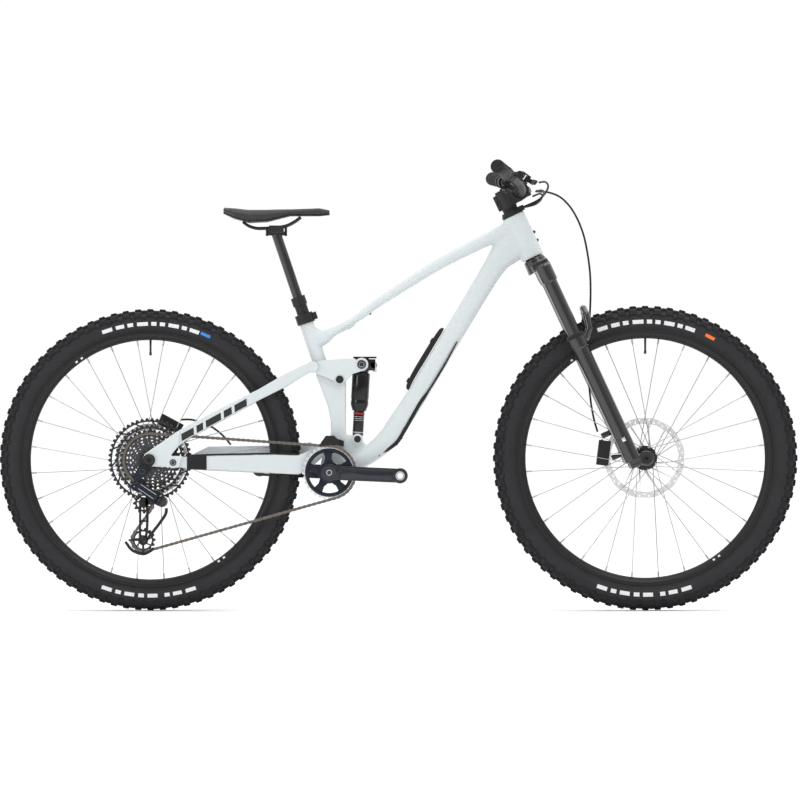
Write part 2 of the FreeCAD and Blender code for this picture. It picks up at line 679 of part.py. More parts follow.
def grips():
    out = []
    end = HANDLEBAR_WIDTH / 2
    for side in (RIGHT, LEFT):
        a = bar_point(side * (end - GRIP_LENGTH))
        b = bar_point(side * (end - 3.0))
        tip = bar_point(side * end)
        collar = bar_point(side * (end - GRIP_LENGTH + 9))
        body = fuse([rod(a, b, GRIP_RADIUS), cone(b, tip, GRIP_RADIUS, GRIP_RADIUS - 2),
                     rod(a, collar, GRIP_RADIUS + 1.2)])
        way = b - a
        way.normalize()
        out.append(body.cut(rod(a - way, bar_point(side * (end - 2)), BAR_GRIP_RADIUS)))
    trim = block(V(0, 0, 0), V(1, 0, 0), V(0, 0, 1), ACROSS * -1, (-9999, -9999, -end), (9999, 9999, end))
    return group([g.common(trim) for g in out])


def stem():
    low = steer(STEM_LOW, 0)
    high = steer(STEM_HIGH, 0)
    bar = steer(*BAR_CENTRE)
    clamp = rod(low, high, 20.0)
    rear = block(steer(0, 0), AHEAD, ACROSS, UP, (-27, -9, STEM_LOW + 2), (-8, 9, STEM_HIGH - 2))
    neck = block(steer(0, 0), AHEAD, ACROSS, UP, (4, -22, STEM_LOW + 4),
                 (BAR_CENTRE[1] - 2, 22, STEM_HIGH - 6))
    hold = rod(bar - ACROSS * 26, bar + ACROSS * 26, 23.0)
    slit = block(steer(0, 0), AHEAD, ACROSS, UP, (-30, -0.8, STEM_LOW - 2), (-10, 0.8, STEM_HIGH + 2))
    face_gap = block(bar, AHEAD, ACROSS, UP, (2.0, -30, -40), (3.2, 30, 40))
    bolts = []
    for up in (-17, 17):
        for side in (-18, 18):
            bolts.append(rod(bar + UP * up + ACROSS * side + AHEAD * 8,
                             bar + UP * up + ACROSS * side + AHEAD * 22.5, 4.2))
    for s in (STEM_LOW + 11, STEM_HIGH - 11):
        bolts.append(rod(steer(s, -20, -11), steer(s, -20, 11), 4.0))
    body = cut(fuse([clamp, rear, neck, hold] + bolts),
               [rod(low - UP, high + UP, STEERER_RADIUS),
                rod(bar - ACROSS * 40, bar + ACROSS * 40, BAR_CLAMP_RADIUS),
                slit, face_gap])
    return body


def headset_cover():
    """Cable-entry cover, spacer and top cap on the steerer."""
    bore = rod(steer(HEAD_TUBE_HIGH - 2, 0), steer(STEM_LOW, 0), STEERER_RADIUS)
    cover = cone(steer(HEAD_TUBE_HIGH + 0.4, 0), steer(HEAD_TUBE_HIGH + 12, 0), HEAD_TUBE_RADIUS - 0.5, 24.0)
    lip = block(steer(0, 0), AHEAD, ACROSS, UP, (10, -16, HEAD_TUBE_HIGH + 1), (33, 16, HEAD_TUBE_HIGH + 14))
    spacer = rod(steer(HEAD_TUBE_HIGH + 11, 0), steer(STEM_LOW, 0), 19.0)
    cap = rod(steer(STEM_HIGH, 0), steer(STEM_HIGH + 5, 0), 18.5)
    channels = [cable(points, CABLE_RADIUS + FIT_GAP, "cable channel") for points in steering_routes()]
    return group([cut(fuse([cover, lip, spacer]), [bore] + channels), cap])


LEVER_OUT = V(math.cos(math.radians(-35.6)), 0, math.sin(math.radians(-35.6)))
LEVER_UP = V(math.sin(math.radians(35.6)), 0, math.cos(math.radians(35.6)))
LEVER_CLAMP_Y = 238.0
LEVER_PIVOT = (44.0, 20.0, 206.0)


def lever_point(side, out, up, y):
    """A point at one brake lever: out towards the blade and up from the bar, at this distance from the middle."""
    return bar_point(side * LEVER_CLAMP_Y) + LEVER_OUT * out + LEVER_UP * up + V(0,
                                                                                 side * (y - LEVER_CLAMP_Y), 0)


def brake_bodies():
    out = []
    for side in (RIGHT, LEFT):
        a = bar_point(side * (LEVER_CLAMP_Y - 7))
        b = bar_point(side * (LEVER_CLAMP_Y + 7))
        clamp = rod(a, b, 16.5)
        neck = rod(bar_point(side * LEVER_CLAMP_Y), lever_point(side, 24, 17, 226), 8.0)
        body = rod(lever_point(side, 23, 17.5, 236), lever_point(side, 30, 19.5, 172), 9.3)
        fork = block(lever_point(side, 0, 0, LEVER_PIVOT[2]), LEVER_OUT, ACROSS, LEVER_UP, (24, -9, 8),
                     (50, 9, 30))
        fork = fork.cut(block(lever_point(side, 0, 0, LEVER_PIVOT[2]), LEVER_OUT, ACROSS, LEVER_UP,
                              (34, -40, 13), (60, 40, 27)))
        pin = rod(lever_point(side, LEVER_PIVOT[0], 8, LEVER_PIVOT[2]),
                  lever_point(side, LEVER_PIVOT[0], 30, LEVER_PIVOT[2]), 2.5)
        whole = fuse([clamp, neck, body, fork])
        room = block(lever_point(side, 0, 0, LEVER_PIVOT[2]), LEVER_OUT, ACROSS, LEVER_UP, (36, -60, 13.2),
                     (70, 60, 26.8))
        out.append(cut(fuse([whole.cut(room), pin]),
                       [rod(bar_point(side * 190), bar_point(side * 260), BAR_GRIP_RADIUS + FIT_GAP)]))
    return group(out)


def brake_lever(side):
    """A one-finger blade that swings on its pin towards the bar."""
    pts = [(44, 206), (56, 214), (62, 240), (60, 275), (66, 318)]
    solids = []
    for (o1, y1), (o2, y2) in zip(pts, pts[1:]):
        a = lever_point(side, o1, 20, y1)
        b = lever_point(side, o2, 20, y2)
        way = b - a
        span = way.Length
        way.normalize()
        thick = LEVER_UP.cross(way)
        solids.append(block(a, way, thick, LEVER_UP, (0, -3.5, -5.5), (span, 3.5, 5.5)))
        solids.append(rod(b - LEVER_UP * 5.5, b + LEVER_UP * 5.5, 3.5))
    hub_a = lever_point(side, 44, 13.7, 206)
    hub_b = lever_point(side, 44, 26.3, 206)
    solids.append(rod(hub_a, hub_b, 6.0))
    return fuse(solids).cut(rod(hub_a - LEVER_UP, hub_b + LEVER_UP, 2.5 + PIN_CLEARANCE))


REMOTE_CLAMP_Y = 209.0
REMOTE_PIVOT = (16.0, -28.0, 196.0)


def remote_bodies():
    """Gear shifter pod on the right and dropper lever perch on the left, under the bar."""
    out = []
    for side in (RIGHT, LEFT):
        clamp = rod(bar_point(side * (REMOTE_CLAMP_Y - 5)), bar_point(side * (REMOTE_CLAMP_Y + 5)), 13.8)
        reach = 16.0 if side == RIGHT else 9.0
        pod = block(lever_point(side, 0, 0, 198), LEVER_OUT, ACROSS, LEVER_UP, (2, -reach, -26),
                    (34, reach, -14))
        arm = rod(bar_point(side * REMOTE_CLAMP_Y), lever_point(side, 14, -20, 206), 6.0)
        pin = rod(lever_point(side, REMOTE_PIVOT[0], -40, REMOTE_PIVOT[2]),
                  lever_point(side, REMOTE_PIVOT[0], -20, REMOTE_PIVOT[2]), 3.0)
        out.append(fuse([clamp, pod, arm, pin]).cut(rod(bar_point(side * 190), bar_point(side * 240),
                                                        BAR_GRIP_RADIUS + FIT_GAP)))
    return group(out)


def thumb_paddle(side, level, reach, sweep):
    """A thumb lever on the remote's pin: level is its height on the pin."""
    hub = lever_point(side, REMOTE_PIVOT[0], level, REMOTE_PIVOT[2])
    tip = lever_point(side, REMOTE_PIVOT[0] + sweep, level, REMOTE_PIVOT[2] + reach)
    way = tip - hub
    span = way.Length
    way.normalize()
    wide = LEVER_UP.cross(way)
    arm = block(hub, way, wide, LEVER_UP, (0, -4, 0), (span, 4, 4))
    pad = block(tip, way, wide, LEVER_UP, (-9, -6, 0), (9, 6, 4))
    return fuse([arm, pad, rod(hub, hub + LEVER_UP * 4, 7.0)]).cut(rod(hub - LEVER_UP, hub + LEVER_UP * 5,
                                                                       3.0 + PIN_CLEARANCE))


# ---- cables and hoses ----
CABLE_RADIUS = 2.5
FRONT_HOSE = ((513.8, 700.4, 130), (545.0, 698.0, 100), (575.0, 685.0, 76), (600.0, 658.0, 62),
              (618.0, 625.0, 54),
              (632.0, 586.0, 48), (641.0, 540.0, 44), (647.0, 492.0, 42), (648.0, 442.0, 41), (646.0, 392.0,
                                                                                               40),
              (643.0, 342.0, 39.5), (642.0, 292.0, 39.5), (642.5, 242.0, 39.5), (645.0, 200.0,
                                                                                 39.5), (650.0, 160.0, 40),
              (657.0, 126.0, 41), (665.0, 100.0, 41))


def steering_routes():
    """Rear brake hose, gear cable and dropper cable, from the levers to the headset cover."""
    entry = steer(HEAD_TUBE_HIGH + 8, 30)
    out = []
    loops = ((RIGHT, (516, 712, 150), (532, 716, 118), (541, 706, 84), (533, 688, 50), (516, 672, 24), 10),
             (RIGHT, (508, 690, 176), (524, 694, 138), (530, 688, 100), (522, 674, 62), (508, 662, 30), 0),
             (LEFT, (508, 690, 176), (524, 696, 138), (531, 690, 100), (524, 675, 62), (509, 663, 30), 10))
    for side, *spots, end_y in loops:
        points = [cockpit((p[0], p[1]), side * p[2]) for p in spots]
        out.append(points + [entry + V(0, side * end_y, 0)])
    return out


def steering_cables():
    return group([cable(points, CABLE_RADIUS, "steering cable") for points in steering_routes()])


def front_brake_hose():
    points = [cockpit((x, z), y) for x, z, y in FRONT_HOSE[:5]]
    points += [bb((x, z), y) for x, z, y in FRONT_HOSE[5:]]
    return cable(points, CABLE_RADIUS, "front brake hose")


REAR_HOSE = ((-246.0, 68.0, 50), (-262.0, 88.0, 45), (-284.0, 107.0, 44), (-312.0, 122.0, 47),
             (-345.0, 131.0, 53),
             (-371.0, 130.0, 57))


def rear_brake_hose():
    return cable([bb((x, z), y) for x, z, y in REAR_HOSE], CABLE_RADIUS, "rear brake hose")


# ---- wheels ----
def tyre(centre, radius):
    section = (radius - RIM_BED_RADIUS - 3.0) / 2
    middle = radius - section
    def ring(r):
        circle = Part.Circle(centre + V(0, 0, middle), V(1, 0, 0), r)
        return Part.Face(Part.Wire([circle.toShape()])).revolve(centre, ACROSS, 360)
    gap = revolve(((RIM_BED_RADIUS - 9, -40), (RIM_OUTER_RADIUS + 1, -40), (RIM_OUTER_RADIUS + 1, 40),
                   (RIM_BED_RADIUS - 9, 40)), centre)
    casing = ring(section).cut(ring(section - TYRE_WALL)).cut(gap)
    inner = RIM_HALF_WIDTH - RIM_WALL
    beads = [revolve(((RIM_BED_RADIUS, s * (inner - 7)), (RIM_BED_RADIUS, s * inner),
                      (RIM_OUTER_RADIUS + 2, s * inner), (RIM_OUTER_RADIUS + 4, s * (inner - 6))), centre)
             for s in (RIGHT, LEFT)]
    return fuse([casing] + beads)


def rim(centre):
    inner = RIM_HALF_WIDTH - RIM_WALL
    outline = [(RIM_INNER_RADIUS, -6), (RIM_INNER_RADIUS + 3, -11), (RIM_BED_RADIUS - 3, -RIM_HALF_WIDTH),
               (RIM_OUTER_RADIUS, -RIM_HALF_WIDTH), (RIM_OUTER_RADIUS, -inner), (RIM_BED_RADIUS, -inner)]
    mirrored = [(r, -y) for r, y in reversed(outline)]
    hollow = [(RIM_INNER_RADIUS + 3, -5), (RIM_INNER_RADIUS + 5, -9), (RIM_BED_RADIUS - 3, -13),
              (RIM_BED_RADIUS - 3, 13), (RIM_INNER_RADIUS + 5, 9), (RIM_INNER_RADIUS + 3, 5)]
    body = revolve(outline + mirrored, centre).cut(revolve(hollow, centre))
    top = centre + V(0, 0, RIM_INNER_RADIUS)
    valve = rod(top - V(0, 0, 38), top + V(0, 0, 4), 3.0)
    return group([body, valve.cut(rod(top - V(0, 0, -0.1), top + V(0, 0, 9), 9))])


def spokes(centre, left_flange, right_flange, left_radius, right_radius):
    """Crossed spokes, each a tangent from its flange to the rim, with its nipple."""
    out = []
    per_side = SPOKE_COUNT // 2
    for side, flange_y, flange_r in ((LEFT, left_flange, left_radius), (RIGHT, right_flange, right_radius)):
        for i in range(per_side):
            lean = 1 if i % 2 else -1
            rim_angle = 2 * math.pi * (i + (0.25 if side == LEFT else 0.75)) / per_side + math.pi / 2
            swing = math.acos(SPOKE_CROSS_OFFSET / RIM_INNER_RADIUS) - math.acos(SPOKE_CROSS_OFFSET / flange_r)
            hub_angle = rim_angle + lean * swing
            hub_y = flange_y + side * lean * 2.2
            a = centre + V(flange_r * math.cos(hub_angle), hub_y, flange_r * math.sin(hub_angle))
            b = centre + V(RIM_INNER_RADIUS * math.cos(rim_angle), side * 4.0 + lean * 1.2,
                           RIM_INNER_RADIUS * math.sin(rim_angle))
            way = b - a
            way.normalize()
            out.append(fuse([rod(a, b, SPOKE_RADIUS),
                             rod(b - way * NIPPLE_LENGTH, b - way * 0.3, NIPPLE_RADIUS)]))
    return group(out)


def front_hub():
    centre = FRONT_AXLE
    def at(y):
        return centre + V(0, y, 0)
    half = FRONT_HUB_WIDTH / 2 - 0.2
    parts = [rod(at(-half), at(half), 10.5), cone(at(-30), at(0), 17, 13), cone(at(0), at(30), 13, 20)]
    parts += [rod(at(-33), at(-29), 25.5), rod(at(25), at(29), 27.5),
              rod(at(27), at(FRONT_ROTOR_Y - ROTOR_THICKNESS / 2), 24.0)]
    return fuse(parts).cut(rod(at(-90), at(90), FRONT_AXLE_RADIUS + PIN_CLEARANCE))


def rear_hub():
    centre = bb(REAR_AXLE)
    def at(y):
        return centre + V(0, y, 0)
    half = REAR_HUB_WIDTH / 2 - 0.2
    parts = [rod(at(-22), at(half), 10.5), cone(at(-22), at(10), 26, 15), cone(at(10), at(34), 15, 22)]
    parts += [rod(at(-23), at(-19), 29.0), rod(at(36), at(40), 28.5),
              rod(at(34), at(REAR_ROTOR_Y - ROTOR_THICKNESS / 2), 22.0)]
    return fuse(parts).cut(rod(at(-90), at(90), REAR_AXLE_RADIUS + PIN_CLEARANCE))


def rotor(centre, radius, y, mount_radius):
    """A vented disc: friction band, carrier ring and slanted arms."""
    mid = centre + V(0, y, 0)
    half = V(0, ROTOR_THICKNESS / 2, 0)
    band = rod(mid - half, mid + half, radius).cut(rod(mid - half * 2, mid + half * 2, radius - 16))
    carrier = rod(mid - half, mid + half, mount_radius + 6).cut(rod(mid - half * 2, mid + half * 2,
                                                                    mount_radius - 10))
    arms = []
    for i in range(6):
        angle = 2 * math.pi * i / 6
        out = V(math.cos(angle), 0, math.sin(angle))
        side = V(math.cos(angle + 0.55), 0, math.sin(angle + 0.55))
        a = mid + out * mount_radius
        b = mid + side * (radius - 10)
        way = b - a
        span = way.Length
        way.normalize()
        arms.append(block(a, way, way.cross(ACROSS), ACROSS, (0, -4, -ROTOR_THICKNESS / 2),
                          (span, 4, ROTOR_THICKNESS / 2)))
    vents = []
    for i in range(24):
        angle = 2 * math.pi * i / 24
        spot = mid + V(math.cos(angle), 0, math.sin(angle)) * (radius - 8)
        vents.append(rod(spot - half * 2, spot + half * 2, 3.6))
    return fuse([band, carrier] + arms).cut(Part.makeCompound(vents))


# ---- drivetrain ----
def crank_arm(side):
    """One arm: a stadium plate leaning outward, with a boss at each end."""
    lean = (CRANK_TIP_Y - CRANK_FOOT_Y) / CRANK_LENGTH
    turn = math.radians(CRANK_DROOP)
    facing = 1 if side == RIGHT else -1
    way = V(math.cos(turn) * facing, 0, -math.sin(turn) * facing)
    flat = way.cross(ACROSS)
    flat.normalize()
    slanted = way + ACROSS * (side * lean)
    slanted.normalize()
    thick = slanted.cross(flat)
    thick.normalize()
    if thick.y * side < 0:
        thick = thick * -1
    foot = bb((0, 0), side * CRANK_FOOT_Y)
    tip = foot + way * CRANK_LENGTH
    tip.y = side * CRANK_TIP_Y
    arm = block(foot, slanted, flat, thick, (0, -17.5, 0), (CRANK_LENGTH, 17.5, CRANK_THICKNESS - 1.5))
    boss = rod(foot, foot + ACROSS * (side * (CRANK_THICKNESS + 1.5)), CRANK_BOSS_RADIUS)
    end = rod(tip, tip + ACROSS * (side * CRANK_THICKNESS), CRANK_END_RADIUS)
    hole = rod(tip - ACROSS * (side * 9), tip + ACROSS * (side * 40), PEDAL_HOLE_RADIUS)
    return fuse([arm, boss, end]).cut(hole)


def right_crank():
    bore = disc((0, 0), SPINDLE_RADIUS - 3, -90, 90)
    spindle = disc((0, 0), SPINDLE_RADIUS, -CRANK_FOOT_Y, CRANK_FOOT_Y - 0.2)
    return group([crank_arm(RIGHT).cut(bore), spindle.cut(bore)])


def left_crank():
    bolt = disc((0, 0), SPINDLE_RADIUS - 3, CRANK_FOOT_Y - 12, CRANK_FOOT_Y + CRANK_THICKNESS)
    return fuse([crank_arm(LEFT), bolt])


def chainring():
    """Direct-mount ring: toothed rim, five arms and a centre that sits on the spindle."""
    centre = bb((0, 0), -CHAINLINE)
    ring = sprocket(CHAINRING_TEETH, centre, 2.2, 54.5)
    parts = [ring]
    for i in range(5):
        angle = 2 * math.pi * (i + 0.3) / 5
        out = V(math.cos(angle), 0, math.sin(angle))
        parts.append(block(centre, out, out.cross(ACROSS), ACROSS, (20, -6, -2.2), (56, 6, 1.1)))
    hub = disc((0, 0), 27.0, -CRANK_FOOT_Y + 0.2, -CHAINLINE + 4)
    parts.append(hub)
    return fuse(parts).cut(disc((0, 0), SPINDLE_RADIUS, -90, 0))


def cog_y(index):
    return LARGE_COG_Y - index * COG_PITCH


def cassette():
    centre = bb(REAR_AXLE)
    body = rod(centre + V(0, LARGE_COG_Y + 4, 0), centre + V(0, cog_y(11) - 3, 0), 15.5)
    parts = [body]
    for index, teeth in enumerate(CASSETTE_TEETH):
        at = centre + V(0, cog_y(index), 0)
        cog = sprocket(teeth, at, COG_THICKNESS, 12.0)
        parts.append(cog)
    for index in range(6):
        inner = pitch_circle(CASSETTE_TEETH[index + 1]) - 9
        a = centre + V(0, cog_y(index), 0)
        b = centre + V(0, cog_y(index + 1), 0)
        parts.append(pipe(b, a, inner, inner - 3))
    return fuse(parts).cut(rod(centre + V(0, -90, 0), centre + V(0, 0, 0), REAR_AXLE_RADIUS + 4.6))


CAGE_PIVOT = (-410.6, -72.0)
UPPER_JOCKEY = (-457.9, -75.0)
LOWER_JOCKEY = (-459.4, -167.1)
HANGER_BOLT = (-459.1, 3.2)
CAGE_OUTER_Y = 46.6
CAGE_INNER_Y = 32.4
CAGE_PLATE = 1.6


def jockey_wheel(place, teeth):
    return sprocket(teeth, bb(place, cog_y(USED_COG)), 2.2, 4.0 + PIN_CLEARANCE)


def derailleur_cage():
    outer = (-CAGE_OUTER_Y - CAGE_PLATE, -CAGE_OUTER_Y)
    inner = (-CAGE_INNER_Y - CAGE_PLATE, -CAGE_INNER_Y)
    parts = []
    for y0, y1 in (outer, inner):
        parts.append(link(UPPER_JOCKEY, LOWER_JOCKEY, 13.0, 14.0, y0, y1))
    parts.append(link(UPPER_JOCKEY, CAGE_PIVOT, 13.0, 13.0, outer[0], outer[1]))
    parts.append(link(CAGE_PIVOT, (LOWER_JOCKEY[0] + 12, LOWER_JOCKEY[1]), 12.0, 9.0, outer[0], outer[1]))
    for place in (UPPER_JOCKEY, LOWER_JOCKEY):
        parts.append(disc(place, 4.0, -CAGE_OUTER_Y - CAGE_PLATE - 1.2, -CAGE_INNER_Y + 1.0))
    shaft = disc(CAGE_PIVOT, 5.0, -CAGE_OUTER_Y - CAGE_PLATE - 12, -CAGE_OUTER_Y)
    window = slab(((-420, -95), (-444, -97), (-446, -140), (-440, -140)), outer[0] - 1, outer[1] + 1)
    return fuse([fuse(parts).cut(window), shaft])


DERAILLEUR_LINK = (-469.0, -31.4)
DERAILLEUR_KNUCKLE = (-424.5, -61.1)
LINK_Y = -97.0
LINK_SPACING = 15.0


def derailleur_axes():
    """Along the link, along its pins, and the way the links sweep."""
    a = bb(DERAILLEUR_LINK)
    b = bb(DERAILLEUR_KNUCKLE)
    along = b - a
    along.normalize()
    pin = ACROSS.cross(along)
    return along, pin, ACROSS


def derailleur_link(y):
    along, pin, sweep = derailleur_axes()
    a = bb(DERAILLEUR_LINK, y)
    length = (bb(DERAILLEUR_KNUCKLE) - bb(DERAILLEUR_LINK)).Length
    bar = block(a, along, pin, sweep, (0, -11, -2), (length, 11, 2))
    ends = [rod(a + along * d - pin * 11, a + along * d + pin * 11, 4.5) for d in (0, length)]
    holes = [rod(a + along * d - pin * 12, a + along * d + pin * 12, 2.0 + PIN_CLEARANCE) for d in (0,
                                                                                                    length)]
    return cut(fuse([bar] + ends), holes)


def knuckle_fork(start, forward):
    """Two lugs and the four pins that the links turn on."""
    along, pin, sweep = derailleur_axes()
    parts = []
    back = -9.0 * forward
    for level in (-15.0, 11.5):
        parts.append(block(start, along, pin, sweep, (min(back * 1.6, 6 * forward), level, -6),
                           (max(back * 1.6, 6 * forward), level + 3.5, LINK_SPACING + 6)))
    parts.append(block(start, along, pin, sweep, (min(back, back * 1.7), -15, -6),
                       (max(back, back * 1.7), 15, LINK_SPACING + 6)))
    for offset in (0, LINK_SPACING):
        spot = start + sweep * offset
        parts.append(rod(spot - pin * 12, spot + pin * 12, 2.0))
    return parts


def derailleur_body():
    start = bb(DERAILLEUR_LINK, LINK_Y)
    parts = knuckle_fork(start, 1)
    parts.append(link(HANGER_BOLT, (-474.0, -12.0), 13.0, 8.0, -106.0, -90.5))
    bolt = disc(HANGER_BOLT, 5.0, -90.5, -84.0)
    return fuse(parts + [bolt])


def derailleur_knuckle():
    start = bb(DERAILLEUR_KNUCKLE, LINK_Y)
    parts = knuckle_fork(start, -1)
    parts.append(disc(CAGE_PIVOT, 12.8, LINK_Y, -CAGE_OUTER_Y - CAGE_PLATE - 0.6))
    return fuse(parts).cut(disc(CAGE_PIVOT, 5.0 + PIN_CLEARANCE, -CAGE_OUTER_Y - 14, -CAGE_OUTER_Y))


def derailleur_hanger():
    plate = link(REAR_AXLE, HANGER_BOLT, 15.0, 10.0, -89.8, -84.6)
    return cut(plate, [disc(REAR_AXLE, 6.0, -99, -80), disc(HANGER_BOLT, 5.0 + PIN_CLEARANCE, -99, -80)])


def chain_run(a, b):
    """One straight run of chain: two plates and the rollers between them."""
    way = b - a
    span = way.Length
    way.normalize()
    up = ACROSS.cross(way)
    up.normalize()
    side = way.cross(up)
    side.normalize()
    h = CHAIN_HALF_HEIGHT
    w = CHAIN_HALF_WIDTH
    parts = [block(a, way, up, side, (CHAIN_GAP, -h, s), (span - CHAIN_GAP, h, s + CHAIN_PLATE))
             for s in (-w, w - CHAIN_PLATE)]
    count = max(2, int(span / 60))
    for i in range(1, count):
        spot = a + way * (span * i / count)
        parts.append(rod(spot - side * (w - 0.5), spot + side * (w - 0.5), 3.0))
    return [fuse(parts)]


def chain_wrap(centre, radius, start, end):
    """The plates around a sprocket, from one angle to another."""
    out = []
    for s in (-CHAIN_HALF_WIDTH, CHAIN_HALF_WIDTH - CHAIN_PLATE):
        base = centre + V(0, s, 0)
        ring = Part.makeCylinder(radius + CHAIN_HALF_HEIGHT, CHAIN_PLATE, base, ACROSS)
        hole = Part.makeCylinder(radius - CHAIN_HALF_HEIGHT, CHAIN_PLATE, base, ACROSS)
        n = 24
        reach = radius * 2
        fan = [base]
        for i in range(n + 1):
            angle = start + (end - start) * i / n
            fan.append(base + V(reach * math.cos(angle), 0, reach * math.sin(angle)))
        wedge = Part.Face(Part.makePolygon(fan + [fan[0]])).extrude(V(0, CHAIN_PLATE, 0))
        out.append(ring.cut(hole).common(wedge))
    return out


def tangent(c1, r1, c2, r2, sense1, sense2):
    """Touching points of a straight run between two circles; sense is +1 where the run is on the left of its circle."""
    dx = c2[0] - c1[0]
    dz = c2[1] - c1[1]
    gap = math.hypot(dx, dz)
    base = math.atan2(dz, dx)
    lean = math.acos((sense1 * r1 - sense2 * r2) / gap)
    a1 = base + lean
    p1 = (c1[0] + sense1 * r1 * math.cos(a1), c1[1] + sense1 * r1 * math.sin(a1))
    p2 = (c2[0] + sense2 * r2 * math.cos(a1), c2[1] + sense2 * r2 * math.sin(a1))
    return p1, p2


def angle_of(centre, point):
    return math.atan2(point[1] - centre[1], point[0] - centre[0])


def chain():
    ring_r = pitch_circle(CHAINRING_TEETH)
    cog_r = pitch_circle(CASSETTE_TEETH[USED_COG])
    up_r = pitch_circle(UPPER_JOCKEY_TEETH)
    low_r = pitch_circle(LOWER_JOCKEY_TEETH)
    rear_y = cog_y(USED_COG)
    front_y = -CHAINLINE
    top_rear, top_front = tangent(REAR_AXLE, cog_r, (0, 0), ring_r, 1, 1)
    low_front, low_rear = tangent((0, 0), ring_r, LOWER_JOCKEY, low_r, 1, 1)
    jock_low, jock_up = tangent(LOWER_JOCKEY, low_r, UPPER_JOCKEY, up_r, 1, -1)
    up_leave, cog_meet = tangent(UPPER_JOCKEY, up_r, REAR_AXLE, cog_r, -1, 1)
    parts = []
    parts += chain_run(bb(top_rear, rear_y), bb(top_front, front_y))
    parts += chain_run(bb(low_front, front_y), bb(low_rear, rear_y))
    parts += chain_run(bb(jock_low, rear_y), bb(jock_up, rear_y))
    parts += chain_run(bb(up_leave, rear_y), bb(cog_meet, rear_y))
    def wrap(place, radius, y, first, last, turn):
        start = angle_of(place, first)
        end = angle_of(place, last)
        while turn * (end - start) < 0:
            end += turn * 2 * math.pi
        return chain_wrap(bb(place, y), radius, start, end)
    parts += wrap((0, 0), ring_r, front_y, top_front, low_front, -1)
    parts += wrap(LOWER_JOCKEY, low_r, rear_y, low_rear, jock_low, -1)
    parts += wrap(UPPER_JOCKEY, up_r, rear_y, jock_up, up_leave, 1)
    parts += wrap(REAR_AXLE, cog_r, rear_y, cog_meet, top_rear, -1)
    return group(parts)


# ---- rear suspension ----
CHAINSTAY_LOW = ((-20.0, 34.0, 63.0, 21.0, 33.0), (-50.0, 8.0, 54.0, 22.0, 42.0),
                 (-76.0, -5.0, 43.0, 36.0, 46.0),
                 (-140.0, -1.7, 45.0, 38.0, 50.0), (-223.0, 3.7, 43.5, 44.0, 56.0), (-302.0, 7.7, 42.0,
                                                                                     54.0, 66.0),
                 (-350.0, 10.0, 40.0, 62.0, 73.2), (-374.0, 14.0, 37.0, 62.0, 73.2))
LEFT_STAY_RAISE = 21.0
SEATSTAY = ((-44.0, 250.0, 273.0, 30.2, 38.2), (-62.0, 240.0, 266.0, 30.2, 39.0),
            (-112.0, 209.0, 242.0, 35.5, 46.0),
            (-171.5, 179.2, 207.0, 38.5, 50.0), (-260.0, 131.0, 162.0, 48.0, 60.0), (-345.3, 84.6, 118.0,
                                                                                     60.0, 74.0),
            (-380.0, 58.0, 98.0, 66.0, 80.0))
DROPOUT = ((-455.6, 45.0), (-380.7, 96.5), (-366.0, 100.0), (-372.0, 64.0), (-390.6, 41.1), (-361.1, 41.1),
           (-370.8, 12.0), (-444.0, 15.6))
BRIDGE_REACH = 388.0


def chainstay():
    parts = []
    for side in (RIGHT, LEFT):
        raise_by = LEFT_STAY_RAISE if side == LEFT else 0.0
        stations = []
        for i, (x, low, high, inner, outer) in enumerate(CHAINSTAY_LOW):
            lift = raise_by if 0 < i < 6 else 0.0
            stations.append((x, low, high + lift, inner, outer))
        parts.append(box_loft(stations, side))
        parts.append(disc(MAIN_PIVOT, 14.0, side * 21.0, side * 33.0))
        parts.append(slab(((-22.0, 36.0), (-22.0, 63.0), (5.0, 72.0), (9.0, 46.0)), side * 21.0, side * 33.0))
        parts.append(disc(HORST_PIVOT, 13.0, side * 62.0, side * 73.2))
    parts.append(slab(((-62.0, 4.0), (-62.0, 46.0), (-40.0, 50.0), (-36.0, 14.0)), -40, 40))
    bores = [disc(MAIN_PIVOT, MAIN_PIN_RADIUS + PIN_CLEARANCE, -50, 50),
             disc(HORST_PIVOT, REAR_AXLE_RADIUS + PIN_CLEARANCE, -90, 90)]
    return cut(fuse(parts), bores)


def chainstay_guard():
    """Ribbed rubber strip along the right stay's top edge, and a sleeve at its rear end."""
    top = [(x, high + 0.2, high + 4.0, inner + 0.5, outer + 0.5) for x, low, high, inner,
           outer in CHAINSTAY_LOW[2:6]]
    strip = box_loft(top, RIGHT)
    sleeve = box_loft([(x, low - 1.0, high + 4.0, inner + 2.0, outer + 1.6)
                       for x, low, high, inner, outer in CHAINSTAY_LOW[5:7]], RIGHT)
    stay = box_loft(CHAINSTAY_LOW, RIGHT)
    return fuse([strip, sleeve]).cut(stay)


